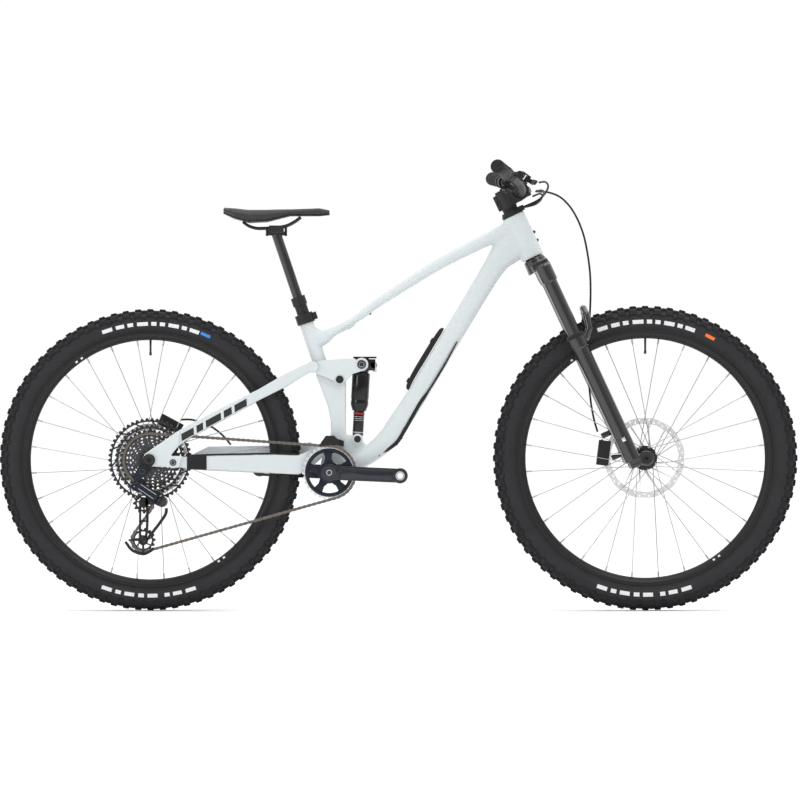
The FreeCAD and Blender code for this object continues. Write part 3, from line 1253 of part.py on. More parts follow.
def seatstay():
    parts = []
    reach = math.hypot(STAY_PIVOT[0] - REAR_AXLE[0], STAY_PIVOT[1] - REAR_AXLE[1])
    share = BRIDGE_REACH / reach
    middle = (REAR_AXLE[0] + (STAY_PIVOT[0] - REAR_AXLE[0]) * share,
              REAR_AXLE[1] + (STAY_PIVOT[1] - REAR_AXLE[1]) * share)
    for side in (RIGHT, LEFT):
        parts.append(box_loft(SEATSTAY, side))
        parts.append(disc(STAY_PIVOT, 14.5, side * 30.2, side * 38.2))
        parts.append(slab(DROPOUT, side * 74.0, side * 83.0))
        parts.append(disc(REAR_AXLE, 15.8, side * 74.0, side * 83.0))
        parts.append(disc(HORST_PIVOT, 14.0, side * 74.0, side * 83.0))
        parts.append(disc(HORST_PIVOT, REAR_AXLE_RADIUS, side * 62.0, side * 74.0))
    parts.append(disc(middle, 6.0, -40, 40))
    bores = [disc(REAR_AXLE, REAR_AXLE_RADIUS, -99, 99),
             disc(STAY_PIVOT, SMALL_PIN_RADIUS + OPEN_PIVOT_CLEARANCE, -36.5, 36.5)]
    return cut(fuse(parts), bores)


def rear_axle():
    body = disc(REAR_AXLE, REAR_AXLE_RADIUS, -89.8, 83.0)
    head = disc(REAR_AXLE, 11.0, 83.0, 87.0)
    cap = disc(REAR_AXLE, 11.0, -92.5, -89.8)
    return fuse([body, head, cap]).cut(disc(REAR_AXLE, 3.5, -99, 99))


def rear_brake_caliper():
    centre = bb((-396.0, 119.0), REAR_ROTOR_Y)
    away = bb(REAR_AXLE, REAR_ROTOR_Y) - centre
    away.normalize()
    along = away.cross(ACROSS)
    body = caliper(centre, along, 60.0, 28.0)
    return body.cut(box_loft(SEATSTAY, LEFT))


ROCKER_ARM = ((-48.0, 262.0), (-24.0, 276.0), (24.0, 280.2), (64.0, 281.0), (85.0, 252.0), (56.0, 242.8),
              (34.0, 219.0),
              (12.0, 226.0), (-30.0, 243.0))


def rocker():
    """Two plates joined by a cross tube, with the stay pins outside and the shock pins inside."""
    parts = []
    inner = STRUT_HALF_WIDTH + SIDE_CLEARANCE
    outer = inner + PLATE_THICKNESS
    for side in (RIGHT, LEFT):
        parts.append(slab(ROCKER_ARM, side * inner, side * outer))
        parts.append(disc(STAY_PIVOT, 11.0, side * inner, side * outer))
        parts.append(disc(ROCKER_PIVOT, 13.6, side * inner, side * outer))
        parts.append(disc(SHOCK_TOP, 16.5, side * inner, side * outer))
        parts.append(disc(STAY_PIVOT, SMALL_PIN_RADIUS, side * inner, side * 36.0))
        parts.append(disc(SHOCK_TOP, SMALL_PIN_RADIUS, side * 13.0, side * outer))
        parts.append(disc(SHOCK_TOP, 11.3, side * outer, side * (outer + 1.6)))
    parts.append(disc((47.7, 252.7), 4.0, -outer, outer))
    return fuse(parts).cut(disc(ROCKER_PIVOT, ROCKER_PIN_RADIUS + PIN_CLEARANCE, -50, 50))


def shock_point(distance):
    """A point on the shock's axis, this far above its lower eye."""
    foot = bb(SHOCK_FOOT)
    way = bb(SHOCK_TOP) - foot
    way.normalize()
    return foot + way * distance


SHOCK_CAN_FOOT = 70.0
SHOCK_SHAFT_TOP = 104.0
SHOCK_STROKE = 56.0
SHOCK_END_ROOM = 3.0


def shock_shaft():
    eye = rod(bb(SHOCK_FOOT, -15.2), bb(SHOCK_FOOT, 15.2), 12.0)
    shaft = rod(shock_point(8), shock_point(SHOCK_SHAFT_TOP), SHOCK_SHAFT_RADIUS)
    return fuse([eye, shaft]).cut(rod(bb(SHOCK_FOOT, -20), bb(SHOCK_FOOT, 20),
                                      SMALL_PIN_RADIUS + PIN_CLEARANCE))


def shock_body():
    """Air can and head; its upper eye is open around the rocker's pins."""
    length = (bb(SHOCK_TOP) - bb(SHOCK_FOOT)).Length
    can = rod(shock_point(SHOCK_CAN_FOOT + 17), shock_point(length - 20), SHOCK_CAN_RADIUS)
    foot = cone(shock_point(SHOCK_CAN_FOOT), shock_point(SHOCK_CAN_FOOT + 17.5), 17.5, SHOCK_CAN_RADIUS)
    head = rod(shock_point(length - 21), shock_point(length + 15), 19.0)
    reservoir = block(bb(SHOCK_TOP), V(1, 0, 0), ACROSS, V(0, 0, 1), (0, -14, -14), (37, 14, 14))
    eye = rod(bb(SHOCK_TOP, -30), bb(SHOCK_TOP, 30), SMALL_PIN_RADIUS + OPEN_PIVOT_CLEARANCE)
    bore = rod(shock_point(SHOCK_CAN_FOOT - 1), shock_point(SHOCK_SHAFT_TOP + SHOCK_STROKE + SHOCK_END_ROOM),
               SHOCK_SHAFT_RADIUS + SLIDE_CLEARANCE)
    flat = STRUT_HALF_WIDTH + SIDE_CLEARANCE - 0.5
    sides = block(bb(SHOCK_FOOT), V(1, 0, 0), ACROSS, V(0, 0, 1), (-60, -flat, -60), (90, flat, 260))
    return cut(fuse([can, foot, head, reservoir]), [eye, bore]).common(sides)


# ---- saddle ----
SADDLE_TOP = ((-262.0, 640.0, 655.0, 96.0), (-236.0, 628.0, 653.0, 138.0), (-200.0, 618.0, 649.0, 142.0),
              (-155.0, 620.0, 649.5, 110.0), (-97.0, 634.0, 652.0, 60.0), (-24.0, 634.0, 655.0, 40.0), (0.5,
                                                                                                        636.5, 649.0, 30.0))
RAIL_SPACING = 22.0
RAIL_RADIUS = 3.5


def saddle_section(x, low, high, width, lift, drop):
    ring = [bb((x, low + lift), -width / 2 * 0.86), bb((x, (low + high) / 2), -width / 2),
            bb((x, high - 3 - drop), -width / 2 * 0.86),
            bb((x, high - drop), -width / 2 * 0.4), bb((x, high - drop), width / 2 * 0.4),
            bb((x, high - 3 - drop), width / 2 * 0.86), bb((x, (low + high) / 2),
                                                           width / 2), bb((x, low + lift), width / 2 * 0.86)]
    return Part.makePolygon(ring + [ring[0]])


def saddle_pad():
    return Part.makeLoft([saddle_section(*row, 3.0, 0.0) for row in SADDLE_TOP], True, True)


def saddle_base():
    """The shell under the padding, and the two rails."""
    rows = []
    for x, low, high, width in SADDLE_TOP:
        ring = [bb((x, low), -width * 0.41), bb((x, low + 2.8), -width * 0.42),
                bb((x, low + 2.8), width * 0.42), bb((x, low), width * 0.41)]
        rows.append(Part.makePolygon(ring + [ring[0]]))
    shell = Part.makeLoft(rows, True, True)
    rails = []
    route = ((-214.0, 619.5), (-200.0, 609.0), (-180.0, 603.0), (-140.0, 604.5), (-106.0, 609.0),
             (-84.0, 621.0), (-71.0, 631.5))
    for side in (RIGHT, LEFT):
        rails.append(cable([bb(p, side * RAIL_SPACING) for p in route], RAIL_RADIUS, "saddle rail"))
    return group([shell] + [r.cut(shell) for r in rails])


def seatpost_inner():
    """The dropper's sliding tube, its head and the rail clamps."""
    head = bb(POST_HEAD)
    tube = rod(post_at(590.0), post_at(375.0), POST_INNER_RADIUS)
    cradle = block(head, V(1, 0, 0), ACROSS, V(0, 0, 1), (-20, -29, -6), (20, 29, 2.5))
    neck = block(head, V(1, 0, 0), ACROSS, V(0, 0, 1), (-20, -9, -14), (22, 9, -4))
    tops = [block(head, V(1, 0, 0), ACROSS, V(0, 0, 1), (-17, s * RAIL_SPACING - 7, 2.5),
                  (17, s * RAIL_SPACING + 7, 10.5))
            for s in (RIGHT, LEFT)]
    bolts = [rod(head + V(x, 0, -15), head + V(x, 0, 7), 3.2) for x in (-22.5, 24.5)]
    yokes = [block(head, V(1, 0, 0), ACROSS, V(0, 0, 1), (x - 5, -25, 3), (x + 5, 25, 8)) for x in (-16, 18)]
    return cut(fuse([tube, cradle, neck] + tops + bolts + yokes), [saddle_base()])


# ---- all nodes ----
def nodes():
    rear = bb(REAR_AXLE)
    return {
        "front_frame": front_frame, "pivots_and_bearings": pivots_and_bearings,
        "seat_clamp": seat_clamp, "seatpost_outer": seatpost_outer, "down_tube_guard": down_tube_guard,
        "accessory_strip": accessory_strip, "chain_guide": chain_guide, "chain": chain,
        "fork_crown": fork_crown, "headset_cover": headset_cover, "stem": stem, "handlebar": handlebar,
        "grips": grips, "brake_bodies": brake_bodies, "remote_bodies": remote_bodies,
        "steering_cables": steering_cables, "front_brake_hose": front_brake_hose,
        "rear_brake_lever": lambda: brake_lever(RIGHT), "front_brake_lever": lambda: brake_lever(LEFT),
        "upshift_paddle": lambda: thumb_paddle(RIGHT, -31, 26, -2),
        "downshift_paddle": lambda: thumb_paddle(RIGHT, -37, 34, -8),
        "dropper_lever": lambda: thumb_paddle(LEFT, -31, 40, -8),
        "fork_lowers": fork_lowers, "fork_shafts": fork_shafts, "front_axle": front_axle,
        "front_brake_caliper": front_brake_caliper,
        "front_tyre": lambda: tyre(FRONT_AXLE, FRONT_TYRE_RADIUS), "front_rim": lambda: rim(FRONT_AXLE),
        "front_spokes": lambda: spokes(FRONT_AXLE, 27, -31, 27.5, 25.5), "front_hub": front_hub,
        "front_rotor": lambda: rotor(FRONT_AXLE, FRONT_ROTOR_RADIUS, FRONT_ROTOR_Y, 24.0),
        "right_crank": right_crank, "left_crank": left_crank, "chainring": chainring,
        "chainstay": chainstay, "chainstay_guard": chainstay_guard,
        "seatstay": seatstay, "rear_axle": rear_axle, "rear_brake_caliper": rear_brake_caliper,
        "derailleur_hanger": derailleur_hanger, "rear_brake_hose": rear_brake_hose,
        "rear_tyre": lambda: tyre(rear, REAR_TYRE_RADIUS), "rear_rim": lambda: rim(rear),
        "rear_spokes": lambda: spokes(rear, 38, -21, 28.5, 29.0), "rear_hub": rear_hub,
        "rear_rotor": lambda: rotor(rear, REAR_ROTOR_RADIUS, REAR_ROTOR_Y, 22.0),
        "cassette": cassette, "rocker": rocker, "shock_shaft": shock_shaft, "shock_body": shock_body,
        "seatpost_inner": seatpost_inner, "saddle_base": saddle_base, "saddle_pad": saddle_pad,
        "derailleur_body": derailleur_body, "derailleur_outer_link": lambda: derailleur_link(LINK_Y),
        "derailleur_inner_link": lambda: derailleur_link(LINK_Y + LINK_SPACING),
        "derailleur_knuckle": derailleur_knuckle, "derailleur_cage": derailleur_cage,
        "upper_jockey_wheel": lambda: jockey_wheel(UPPER_JOCKEY, UPPER_JOCKEY_TEETH),
        "lower_jockey_wheel": lambda: jockey_wheel(LOWER_JOCKEY, LOWER_JOCKEY_TEETH),
    }


def main():
    os.makedirs("parts", exist_ok=True)
    for name, make in nodes().items():
        shape = make()
        solids = len(shape.Solids)
        print(name, "solids", solids, "valid", shape.isValid(), "volume", round(shape.Volume))
        shape.exportStep("parts/%s.step" % name)


if __name__ == "__main__":
    main()
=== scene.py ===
import json
import math

import bmesh
import bpy
import numpy as np
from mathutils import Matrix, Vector

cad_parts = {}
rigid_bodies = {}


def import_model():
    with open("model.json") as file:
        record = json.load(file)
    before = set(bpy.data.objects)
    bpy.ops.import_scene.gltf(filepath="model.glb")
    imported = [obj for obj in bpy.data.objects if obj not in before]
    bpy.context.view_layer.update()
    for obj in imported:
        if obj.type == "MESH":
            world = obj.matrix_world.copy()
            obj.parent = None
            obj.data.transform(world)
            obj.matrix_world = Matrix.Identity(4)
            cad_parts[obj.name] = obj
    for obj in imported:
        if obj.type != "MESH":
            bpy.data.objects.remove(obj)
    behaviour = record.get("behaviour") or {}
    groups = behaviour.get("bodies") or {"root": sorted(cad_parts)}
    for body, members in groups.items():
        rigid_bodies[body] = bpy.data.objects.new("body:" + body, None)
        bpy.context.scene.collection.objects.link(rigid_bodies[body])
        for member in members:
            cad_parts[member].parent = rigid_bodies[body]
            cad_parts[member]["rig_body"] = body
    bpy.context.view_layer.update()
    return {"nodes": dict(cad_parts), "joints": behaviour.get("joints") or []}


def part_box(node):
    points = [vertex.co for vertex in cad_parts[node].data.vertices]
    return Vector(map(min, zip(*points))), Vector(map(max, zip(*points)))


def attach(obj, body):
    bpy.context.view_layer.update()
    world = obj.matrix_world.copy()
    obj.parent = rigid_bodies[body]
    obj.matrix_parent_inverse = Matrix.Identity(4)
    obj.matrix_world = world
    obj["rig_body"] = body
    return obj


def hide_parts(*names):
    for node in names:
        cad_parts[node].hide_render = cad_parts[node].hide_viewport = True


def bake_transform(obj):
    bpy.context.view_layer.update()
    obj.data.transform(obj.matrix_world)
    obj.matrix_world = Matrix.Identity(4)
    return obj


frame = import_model()

# ---- places ----
MM = 0.001
JOINTS = {j["name"]: j for j in frame["joints"]}
NODES = frame["nodes"]
SIDES = (-1, 1)
RIGHT, LEFT = SIDES
Y = Vector((0, 1, 0))
Z = Vector((0, 0, 1))
X = Vector((1, 0, 0))


def pivot(name):
    return Vector(JOINTS[name]["pos_m"])


BB = pivot("crank_spin")
BB.y = 0
REAR = pivot("rear_wheel_spin")
FRONT = pivot("front_wheel_spin")
FOOT = pivot("steering_turn")
UP = Vector(JOINTS["steering_turn"]["axis"])
AHEAD = Vector((UP.z, 0, -UP.x))
POST_DOWN = Vector(JOINTS["dropper_travel"]["axis"])


def bb(x, z, y=0.0):
    """Millimetres ahead of, above and left of the bottom bracket."""
    return BB + Vector((x, y, z)) * MM


def steer(s, p, y=0.0):
    """Millimetres up the steering axis from its foot, and ahead of it."""
    return FOOT + (UP * s + AHEAD * p + Y * y) * MM


def near(joint):
    """A pivot as (forward, up) millimetres from the bottom bracket."""
    place = (pivot(joint) - BB) / MM
    return place.x, place.z


# Places as (forward, up) millimetres from the bottom bracket.
SHOCK_FOOT = (69.5, 82.1)
SHOCK_TOP = (79.7, 266.8)
UPPER_JOCKEY = (-457.9, -75.0)
LOWER_JOCKEY = (-459.4, -167.1)
CAGE_PIVOT = (-410.6, -72.0)
HANGER_BOLT = (-459.1, 3.2)

# Sizes in millimetres.
CHAIN_PITCH = 12.7
CRANK_LENGTH = 175.0
CRANK_FLARE = 11.5
CRANK_Y = 59.5
LEG_Y = 66.0
LEG_AHEAD = 12.0
KNOB = 4.6

# Counts and angles.
JOCKEY_TEETH = (12, 14)
TREAD_BLOCKS = 76
CRANK_DROP = math.radians(2.5)
ARM_SWEEP = 0.42


# ---- mesh building ----
class Form:
    """Points and faces gathered from simple closed solids."""

    def __init__(self):
        self.points = []
        self.faces = []

    def add(self, points, faces):
        base = len(self.points)
        self.points += [tuple(p) for p in points]
        self.faces += [tuple(i + base for i in f) for f in faces]
        return self

    def rings(self, rings, closed=False):
        """A skin over rings of equal length, capped unless it closes on itself."""
        count = len(rings[0])
        points = [p for ring in rings for p in ring]
        faces = []
        rows = len(rings) if closed else len(rings) - 1
        for i in range(rows):
            a = i * count
            b = ((i + 1) % len(rings)) * count
            for k in range(count):
                n = (k + 1) % count
                faces.append((a + k, a + n, b + n, b + k))
        if not closed:
            faces.append(tuple(reversed(range(count))))
            faces.append(tuple(range((len(rings) - 1) * count, len(rings) * count)))
        return self.add(points, faces)

    def rod(self, a, b, ra, rb=None, sides=28):
        rb = ra if rb is None else rb
        way = (b - a).normalized()
        u = way.orthogonal().normalized()
        v = way.cross(u)
        turn = [2 * math.pi * i / sides for i in range(sides)]
        ends = ((a, ra), (b, rb))
        return self.rings([[c + (u * math.cos(t) + v * math.sin(t)) * r * MM for t in turn] for c, r in ends])

    def ball(self, centre, radius, rows=10, sides=20):
        loops = []
        for i in range(1, rows):
            lat = math.pi * i / rows - math.pi / 2
            loops.append([centre + Vector((math.cos(lat) * math.cos(2 * math.pi * k / sides),
                math.cos(lat) * math.sin(2 * math.pi * k / sides),
                math.sin(lat))) * radius * MM for k in range(sides)])
        return self.rings(loops)

    def prism(self, outline, y0, y1):
        """An outline of (forward, up) points between two distances from the bike's plane."""
        near_ring = [bb(x, z, y0) for x, z in outline]
        far_ring = [bb(x, z, y1) for x, z in outline]
        return self.rings([near_ring, far_ring])

    def box(self, centre, e1, e2, e3, low, high):
        def corner(i, j, k):
            return centre + (e1 * (low[0], high[0])[i] + e2 * (low[1], high[1])[j] + e3 * (low[2], high[2])[k]) * MM
        return self.rings([[corner(i, j, k) for i, j in ((0, 0), (1, 0), (1, 1), (0, 1))] for k in (0, 1)])

    def lathe(self, profile, centre, sides):
        """A (radius, y) profile turned about the wheel axis through centre."""
        rings = []
        for i in range(sides):
            t = 2 * math.pi * i / sides
            rings.append([centre + Vector((r * math.cos(t), y, r * math.sin(t))) * MM for r, y in profile])
        return self.rings(rings, closed=True)

    def washer(self, centre, outer, inner, y0, y1, sides=64):
        return self.lathe([(outer, y0), (outer, y1), (inner, y1), (inner, y0)], centre, sides)

    def spin(self, foot, way, profile, sides=48):
        """A solid of revolution about an axis: profile rows are (distance along it, radius)."""
        u = way.orthogonal().normalized()
        v = way.cross(u)
        turn = [2 * math.pi * i / sides for i in range(sides)]
        return self.rings([[foot + (way * d + (u * math.cos(t) + v * math.sin(t)) * r) * MM for t in turn]
            for d, r in profile])

    def toothed(self, centre, teeth, inner, y, thick, tip=2.6, root=3.2):
        """A sprocket's toothed ring about a cross-wise axis through centre."""
        pitch = pitch_radius(teeth)
        rings = []
        for i in range(teeth * 6):
            t = 2 * math.pi * i / (teeth * 6)
            r = pitch + (tip, tip, 0.3, -root, -root, 0.3)[i % 6]
            way = wheelwards(t)
            rings.append([centre + (way * q + Y * (y + w)) * MM
                for q, w in ((r, -thick / 2), (r, thick / 2), (inner, thick / 2), (inner, -thick / 2))])
        return self.rings(rings, closed=True)

    def spokes_between(self, centre, count, r0, r1, width, y, thick, sweep=0.0, phase=0.0):
        """Flat arms from one radius to another, swept round by an angle."""
        for i in range(count):
            t = 2 * math.pi * (i + phase) / count
            a = centre + (wheelwards(t) * r0 + Y * y) * MM
            b = centre + (wheelwards(t + sweep) * r1 + Y * y) * MM
            way = (b - a).normalized()
            self.box(a, way, way.cross(Y), Y, (0, -width / 2, -thick / 2),
                ((b - a).length / MM, width / 2, thick / 2))
        return self


def wheelwards(angle):
    """A unit direction in the bike's plane, this far round from straight ahead."""
    return Vector((math.cos(angle), 0, math.sin(angle)))


def pitch_radius(teeth):
    return CHAIN_PITCH / (2 * math.sin(math.pi / teeth))


def oval_ring(centre, way, depth, width, power=2.5, count=40):
    """A squared-off oval across a tube that runs along way in the bike's plane."""
    upright = way.cross(Y).normalized()
    out = []
    for k in range(count):
        t = 2 * math.pi * k / count
        c, s = math.cos(t), math.sin(t)
        a = math.copysign(abs(c) ** (2 / power), c) * depth / 2
        b = math.copysign(abs(s) ** (2 / power), s) * width / 2
        out.append(centre + (upright * a + Y * b) * MM)
    return out


def smooth_path(points, steps=6):
    """A curve through the points, with even steps between each pair."""
    pts = [points[0] * 2 - points[1]] + list(points) + [points[-1] * 2 - points[-2]]
    out = []
    for i in range(1, len(pts) - 2):
        p0, p1, p2, p3 = pts[i - 1:i + 3]
        for k in range(steps):
            t = k / steps
            out.append(0.5 * ((2 * p1) + (p2 - p0) * t + (2 * p0 - 5 * p1 + 4 * p2 - p3) * t * t
                + (3 * p1 - p0 - 3 * p2 + p3) * t ** 3))
    out.append(points[-1])
    return out


def place_in_scene(name, data):
    obj = bpy.data.objects.new(name, data)
    bpy.context.scene.collection.objects.link(obj)
    return obj


def heading(points, k):
    """The direction of a path at its k-th point."""
    return (points[min(k + 1, len(points) - 1)] - points[max(k - 1, 0)]).normalized()


def make_object(name, form, material):
    mesh = bpy.data.meshes.new(name)
    mesh.from_pydata(form.points, [], form.faces)
    bm = bmesh.new()
    bm.from_mesh(mesh)
    bmesh.ops.recalc_face_normals(bm, faces=bm.faces)
    bm.to_mesh(mesh)
    bm.free()
    obj = place_in_scene(name, mesh)
    mesh.materials.append(material)
    return obj


def apply_modifiers(obj):
    bpy.context.view_layer.update()
    graph = bpy.context.evaluated_depsgraph_get()
    mesh = bpy.data.meshes.new_from_object(obj.evaluated_get(graph))
    obj.modifiers.clear()
    obj.data = mesh


def shade(obj, angle=35.0):
    mesh = obj.data
    mesh.shade_smooth()
    mesh.set_sharp_from_angle(angle=math.radians(angle))


def bevel(obj, width, segments=2, angle=35.0):
    mod = obj.modifiers.new("bevel", "BEVEL")
    mod.width = width * MM
    mod.segments = segments
    mod.limit_method = "ANGLE"
    mod.angle_limit = math.radians(angle)
    mod.harden_normals = False
    apply_modifiers(obj)


def melt(obj, voxel, passes):
    """Joins everything in a mesh into one skin and softens its edges, as a casting or a lay-up has them."""
    mod = obj.modifiers.new("remesh", "REMESH")
    mod.mode = "VOXEL"
    mod.voxel_size = voxel * MM
    mod.use_smooth_shade = True
    soft = obj.modifiers.new("soft", "SMOOTH")
    soft.factor = 0.5
    soft.iterations = passes
    apply_modifiers(obj)
    obj.data.shade_smooth()


def carve(obj, form):
    """Cuts a form out of an object."""
    tool = make_object(obj.name + "_tool", form, obj.data.materials[0])
    mod = obj.modifiers.new("cut", "BOOLEAN")
    mod.operation = "DIFFERENCE"
    mod.solver = "EXACT"
    mod.object = tool
    apply_modifiers(obj)
    bpy.data.objects.remove(tool)


def settle(obj, body, slot, *replaced):
    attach(obj, body)
    if replaced:
        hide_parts(*replaced)
    return obj


def hard_piece(name, form, material, body, slot, replaced=(), edge=0.5, angle=35.0):
    """A machined or moulded piece with small rounded edges."""
    obj = make_object(name, form, material)
    if edge:
        bevel(obj, edge)
    shade(obj, angle)
    return settle(obj, body, slot, *replaced)


def repaint(obj, material):
    obj.data.materials.clear()
    obj.data.materials.append(material)


def copy_node(node, material):
    obj = place_in_scene(node + "_skin", NODES[node].data.copy())
    repaint(obj, material)
    return obj


def cast_from(node, material, slot, voxel, passes):
    """A softened skin over a CAD node's own solid."""
    obj = copy_node(node, material)
    melt(obj, voxel, passes)
    repaint(obj, material)
    return settle(obj, NODES[node]["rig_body"], slot, node)


def dress(node, material, angle=35.0):
    """A CAD node that shows as it is, with a finished material."""
    obj = NODES[node]
    repaint(obj, material)
    shade(obj, angle)


# ---- materials ----
def fill(node, values):
    for name, value in values.items():
        node.inputs[name].default_value = value


def material(name, colour, rough, metal=0.0, coat=0.0, coat_rough=0.05, grain=0.0, grain_scale=900.0, tint=0.06,
        tint_scale=60.0, rough_swing=0.08, sheen=0.0, bump=0.15, bump_distance=0.0003, specular=0.4):
    """A procedural finish: slow colour variation, uneven gloss and a fine surface grain."""
    mat = bpy.data.materials.new(name)
    mat.use_nodes = True
    tree = mat.node_tree
    links = tree.links
    shader = tree.nodes["Principled BSDF"]
    fill(shader, {"Metallic": metal, "Coat Weight": coat, "Coat Roughness": coat_rough, "Sheen Weight": sheen,
        "Specular IOR Level": specular})
    place = tree.nodes.new("ShaderNodeTexCoord")
    source = place.outputs["Object"]
    slow = tree.nodes.new("ShaderNodeTexNoise")
    fill(slow, {"Scale": tint_scale, "Detail": 4.0})
    links.new(source, slow.inputs["Vector"])
    ramp = tree.nodes.new("ShaderNodeMix")
    ramp.data_type = "RGBA"
    dark = [c * (1 - tint) for c in colour] + [1.0]
    light = [min(1.0, c * (1 + tint)) for c in colour] + [1.0]
    fill(ramp, {"A": dark, "B": light})
    links.new(slow.outputs["Fac"], ramp.inputs["Factor"])
    links.new(ramp.outputs["Result"], shader.inputs["Base Color"])
    fine = tree.nodes.new("ShaderNodeTexNoise")
    fill(fine, {"Scale": grain_scale, "Detail": 3.0})
    links.new(source, fine.inputs["Vector"])
    gloss = tree.nodes.new("ShaderNodeMapRange")
    fill(gloss, {"To Min": max(0.02, rough - rough_swing), "To Max": min(1.0, rough + rough_swing)})
    links.new(fine.outputs["Fac"], gloss.inputs["Value"])
    links.new(gloss.outputs["Result"], shader.inputs["Roughness"])
    if grain:
        relief = tree.nodes.new("ShaderNodeBump")
        fill(relief, {"Strength": bump, "Distance": bump_distance * grain})
        links.new(fine.outputs["Fac"], relief.inputs["Height"])
        links.new(relief.outputs["Normal"], shader.inputs["Normal"])
    return mat


PAINT = material("frame_paint", (0.60, 0.645, 0.66), 0.62, tint=0.012, tint_scale=9.0, rough_swing=0.02, specular=0.2)
GLOSS_BLACK = material("gloss_black", (0.012, 0.012, 0.014), 0.22, coat=0.9, coat_rough=0.05, tint=0.2,
    rough_swing=0.05, specular=0.3)
SATIN_BLACK = material("satin_black", (0.018, 0.018, 0.02), 0.42, metal=0.3, tint=0.15, grain=0.6, grain_scale=1800.0)
PLASTIC = material("black_plastic", (0.014, 0.014, 0.015), 0.5, specular=0.25, tint=0.15, grain=1.0,
    grain_scale=1400.0)
RUBBER = material("rubber", (0.016, 0.016, 0.017), 0.75, specular=0.2, tint=0.2, grain=1.5, grain_scale=1100.0,
    sheen=0.1)
TYRE_TREAD = material("tyre_tread", (0.016, 0.016, 0.018), 0.78, specular=0.2, tint=0.3, tint_scale=35.0, grain=2.0,
    grain_scale=700.0, bump=0.1)
TYRE_WALL = material("tyre_wall", (0.020, 0.020, 0.022), 0.6, specular=0.25, tint=0.25, tint_scale=25.0, grain=1.2,
    grain_scale=1600.0)
RIM_BLACK = material("rim_black", (0.011, 0.011, 0.012), 0.40, specular=0.3, tint=0.2, grain=0.5, grain_scale=1500.0)
STEEL = material("steel", (0.55, 0.56, 0.58), 0.28, metal=1.0, tint=0.08, grain=0.4, grain_scale=2000.0)
ROTOR_STEEL = material("rotor_steel", (0.80, 0.80, 0.81), 0.30, metal=1.0, tint=0.05, grain=0.5, grain_scale=1500.0)
COG_DARK = material("cog_dark", (0.05, 0.05, 0.053), 0.34, metal=0.9, tint=0.2, grain=0.4)
COG_BRIGHT = material("cog_bright", (0.085, 0.085, 0.09), 0.36, metal=0.9, tint=0.2, grain=0.4)
CHAIN_STEEL = material("chain_steel", (0.17, 0.15, 0.135), 0.34, metal=0.9, tint=0.25, grain=0.5)
NAVY = material("crank_navy", (0.012, 0.014, 0.021), 0.30, metal=0.2, coat=0.5, tint=0.3, specular=0.3)
NAVY_DARK = material("crank_navy_dark", (0.011, 0.014, 0.025), 0.38, metal=0.2, tint=0.3, specular=0.3)
SHOCK_BLACK = material("shock_black", (0.003, 0.003, 0.003), 0.2, coat=0.5, coat_rough=0.08, tint=0.2, specular=0.15)
SADDLE_BLACK = material("saddle_cover", (0.024, 0.024, 0.026), 0.52, tint=0.15, grain=2.2, grain_scale=1900.0,
    bump=0.35)
RED = material("red_ring", (0.5, 0.01, 0.01), 0.35, tint=0.1)
WHITE_MARK = material("white_mark", (0.72, 0.73, 0.74), 0.55, tint=0.05)
ORANGE_MARK = material("orange_mark", (0.85, 0.16, 0.02), 0.5, tint=0.05)
BLUE_MARK = material("blue_mark", (0.03, 0.22, 0.62), 0.5, tint=0.05)
BLACK_MARK = material("black_mark", (0.010, 0.010, 0.011), 0.3, coat=0.6, tint=0.1)
SPOKE_STEEL = material("spoke_steel", (0.42, 0.42, 0.44), 0.25, metal=1.0, tint=0.05)


# ---- stage ----
def studio_world():
    """White all round, a little dimmer on the viewer's side so that rounded shapes read."""
    world = bpy.data.worlds.new("studio")
    bpy.context.scene.world = world
    world.use_nodes = True
    tree = world.node_tree
    place = tree.nodes.new("ShaderNodeTexCoord")
    axes = tree.nodes.new("ShaderNodeSeparateXYZ")
    tree.links.new(place.outputs["Generated"], axes.inputs["Vector"])
    depth = tree.nodes.new("ShaderNodeMapRange")
    fill(depth, {"From Min": -0.9, "From Max": 0.5, "To Min": 0.42, "To Max": 1.02})
    tree.links.new(axes.outputs["Y"], depth.inputs["Value"])
    height = tree.nodes.new("ShaderNodeMapRange")
    fill(height, {"From Min": 0.15, "From Max": 0.85, "To Min": 0.0, "To Max": 0.5})
    tree.links.new(axes.outputs["Z"], height.inputs["Value"])
    total = tree.nodes.new("ShaderNodeMath")
    total.operation = "ADD"
    tree.links.new(depth.outputs["Result"], total.inputs[0])
    tree.links.new(height.outputs["Result"], total.inputs[1])
    tree.links.new(total.outputs["Value"], tree.nodes["Background"].inputs["Strength"])
    tree.nodes["Background"].inputs["Color"].default_value = (1, 1, 1, 1)


def stage():
    studio_world()
    mesh = bpy.data.meshes.new("floor")
    w = 40.0
    mesh.from_pydata([(-w, -w, -0.0004), (w, -w, -0.0004), (w, w, -0.0004), (-w, w, -0.0004)], [], [(0, 1, 2, 3)])
    floor = place_in_scene("floor", mesh)
    mesh.materials.append(material("floor_white", (0.94, 0.94, 0.94), 0.9, tint=0.003, tint_scale=2.0))
    for name, place, size, power in (("key", (1.2, -3.0, 4.5), 2.4, 55.0), ("top", (0.0, 0.0, 5.0), 4.0, 60.0),
            ("strip", (-3.2, -2.6, 1.6), 1.2, 22.0)):
        light = bpy.data.lights.new(name, "AREA")
        light.energy = power
        light.size = size
        lamp = place_in_scene(name, light)
        lamp.location = place
        lamp.rotation_euler = (Vector((0, 0, 0.5)) - Vector(place)).to_track_quat("-Z", "Y").to_euler()
    bpy.context.scene.view_settings.view_transform = "Standard"


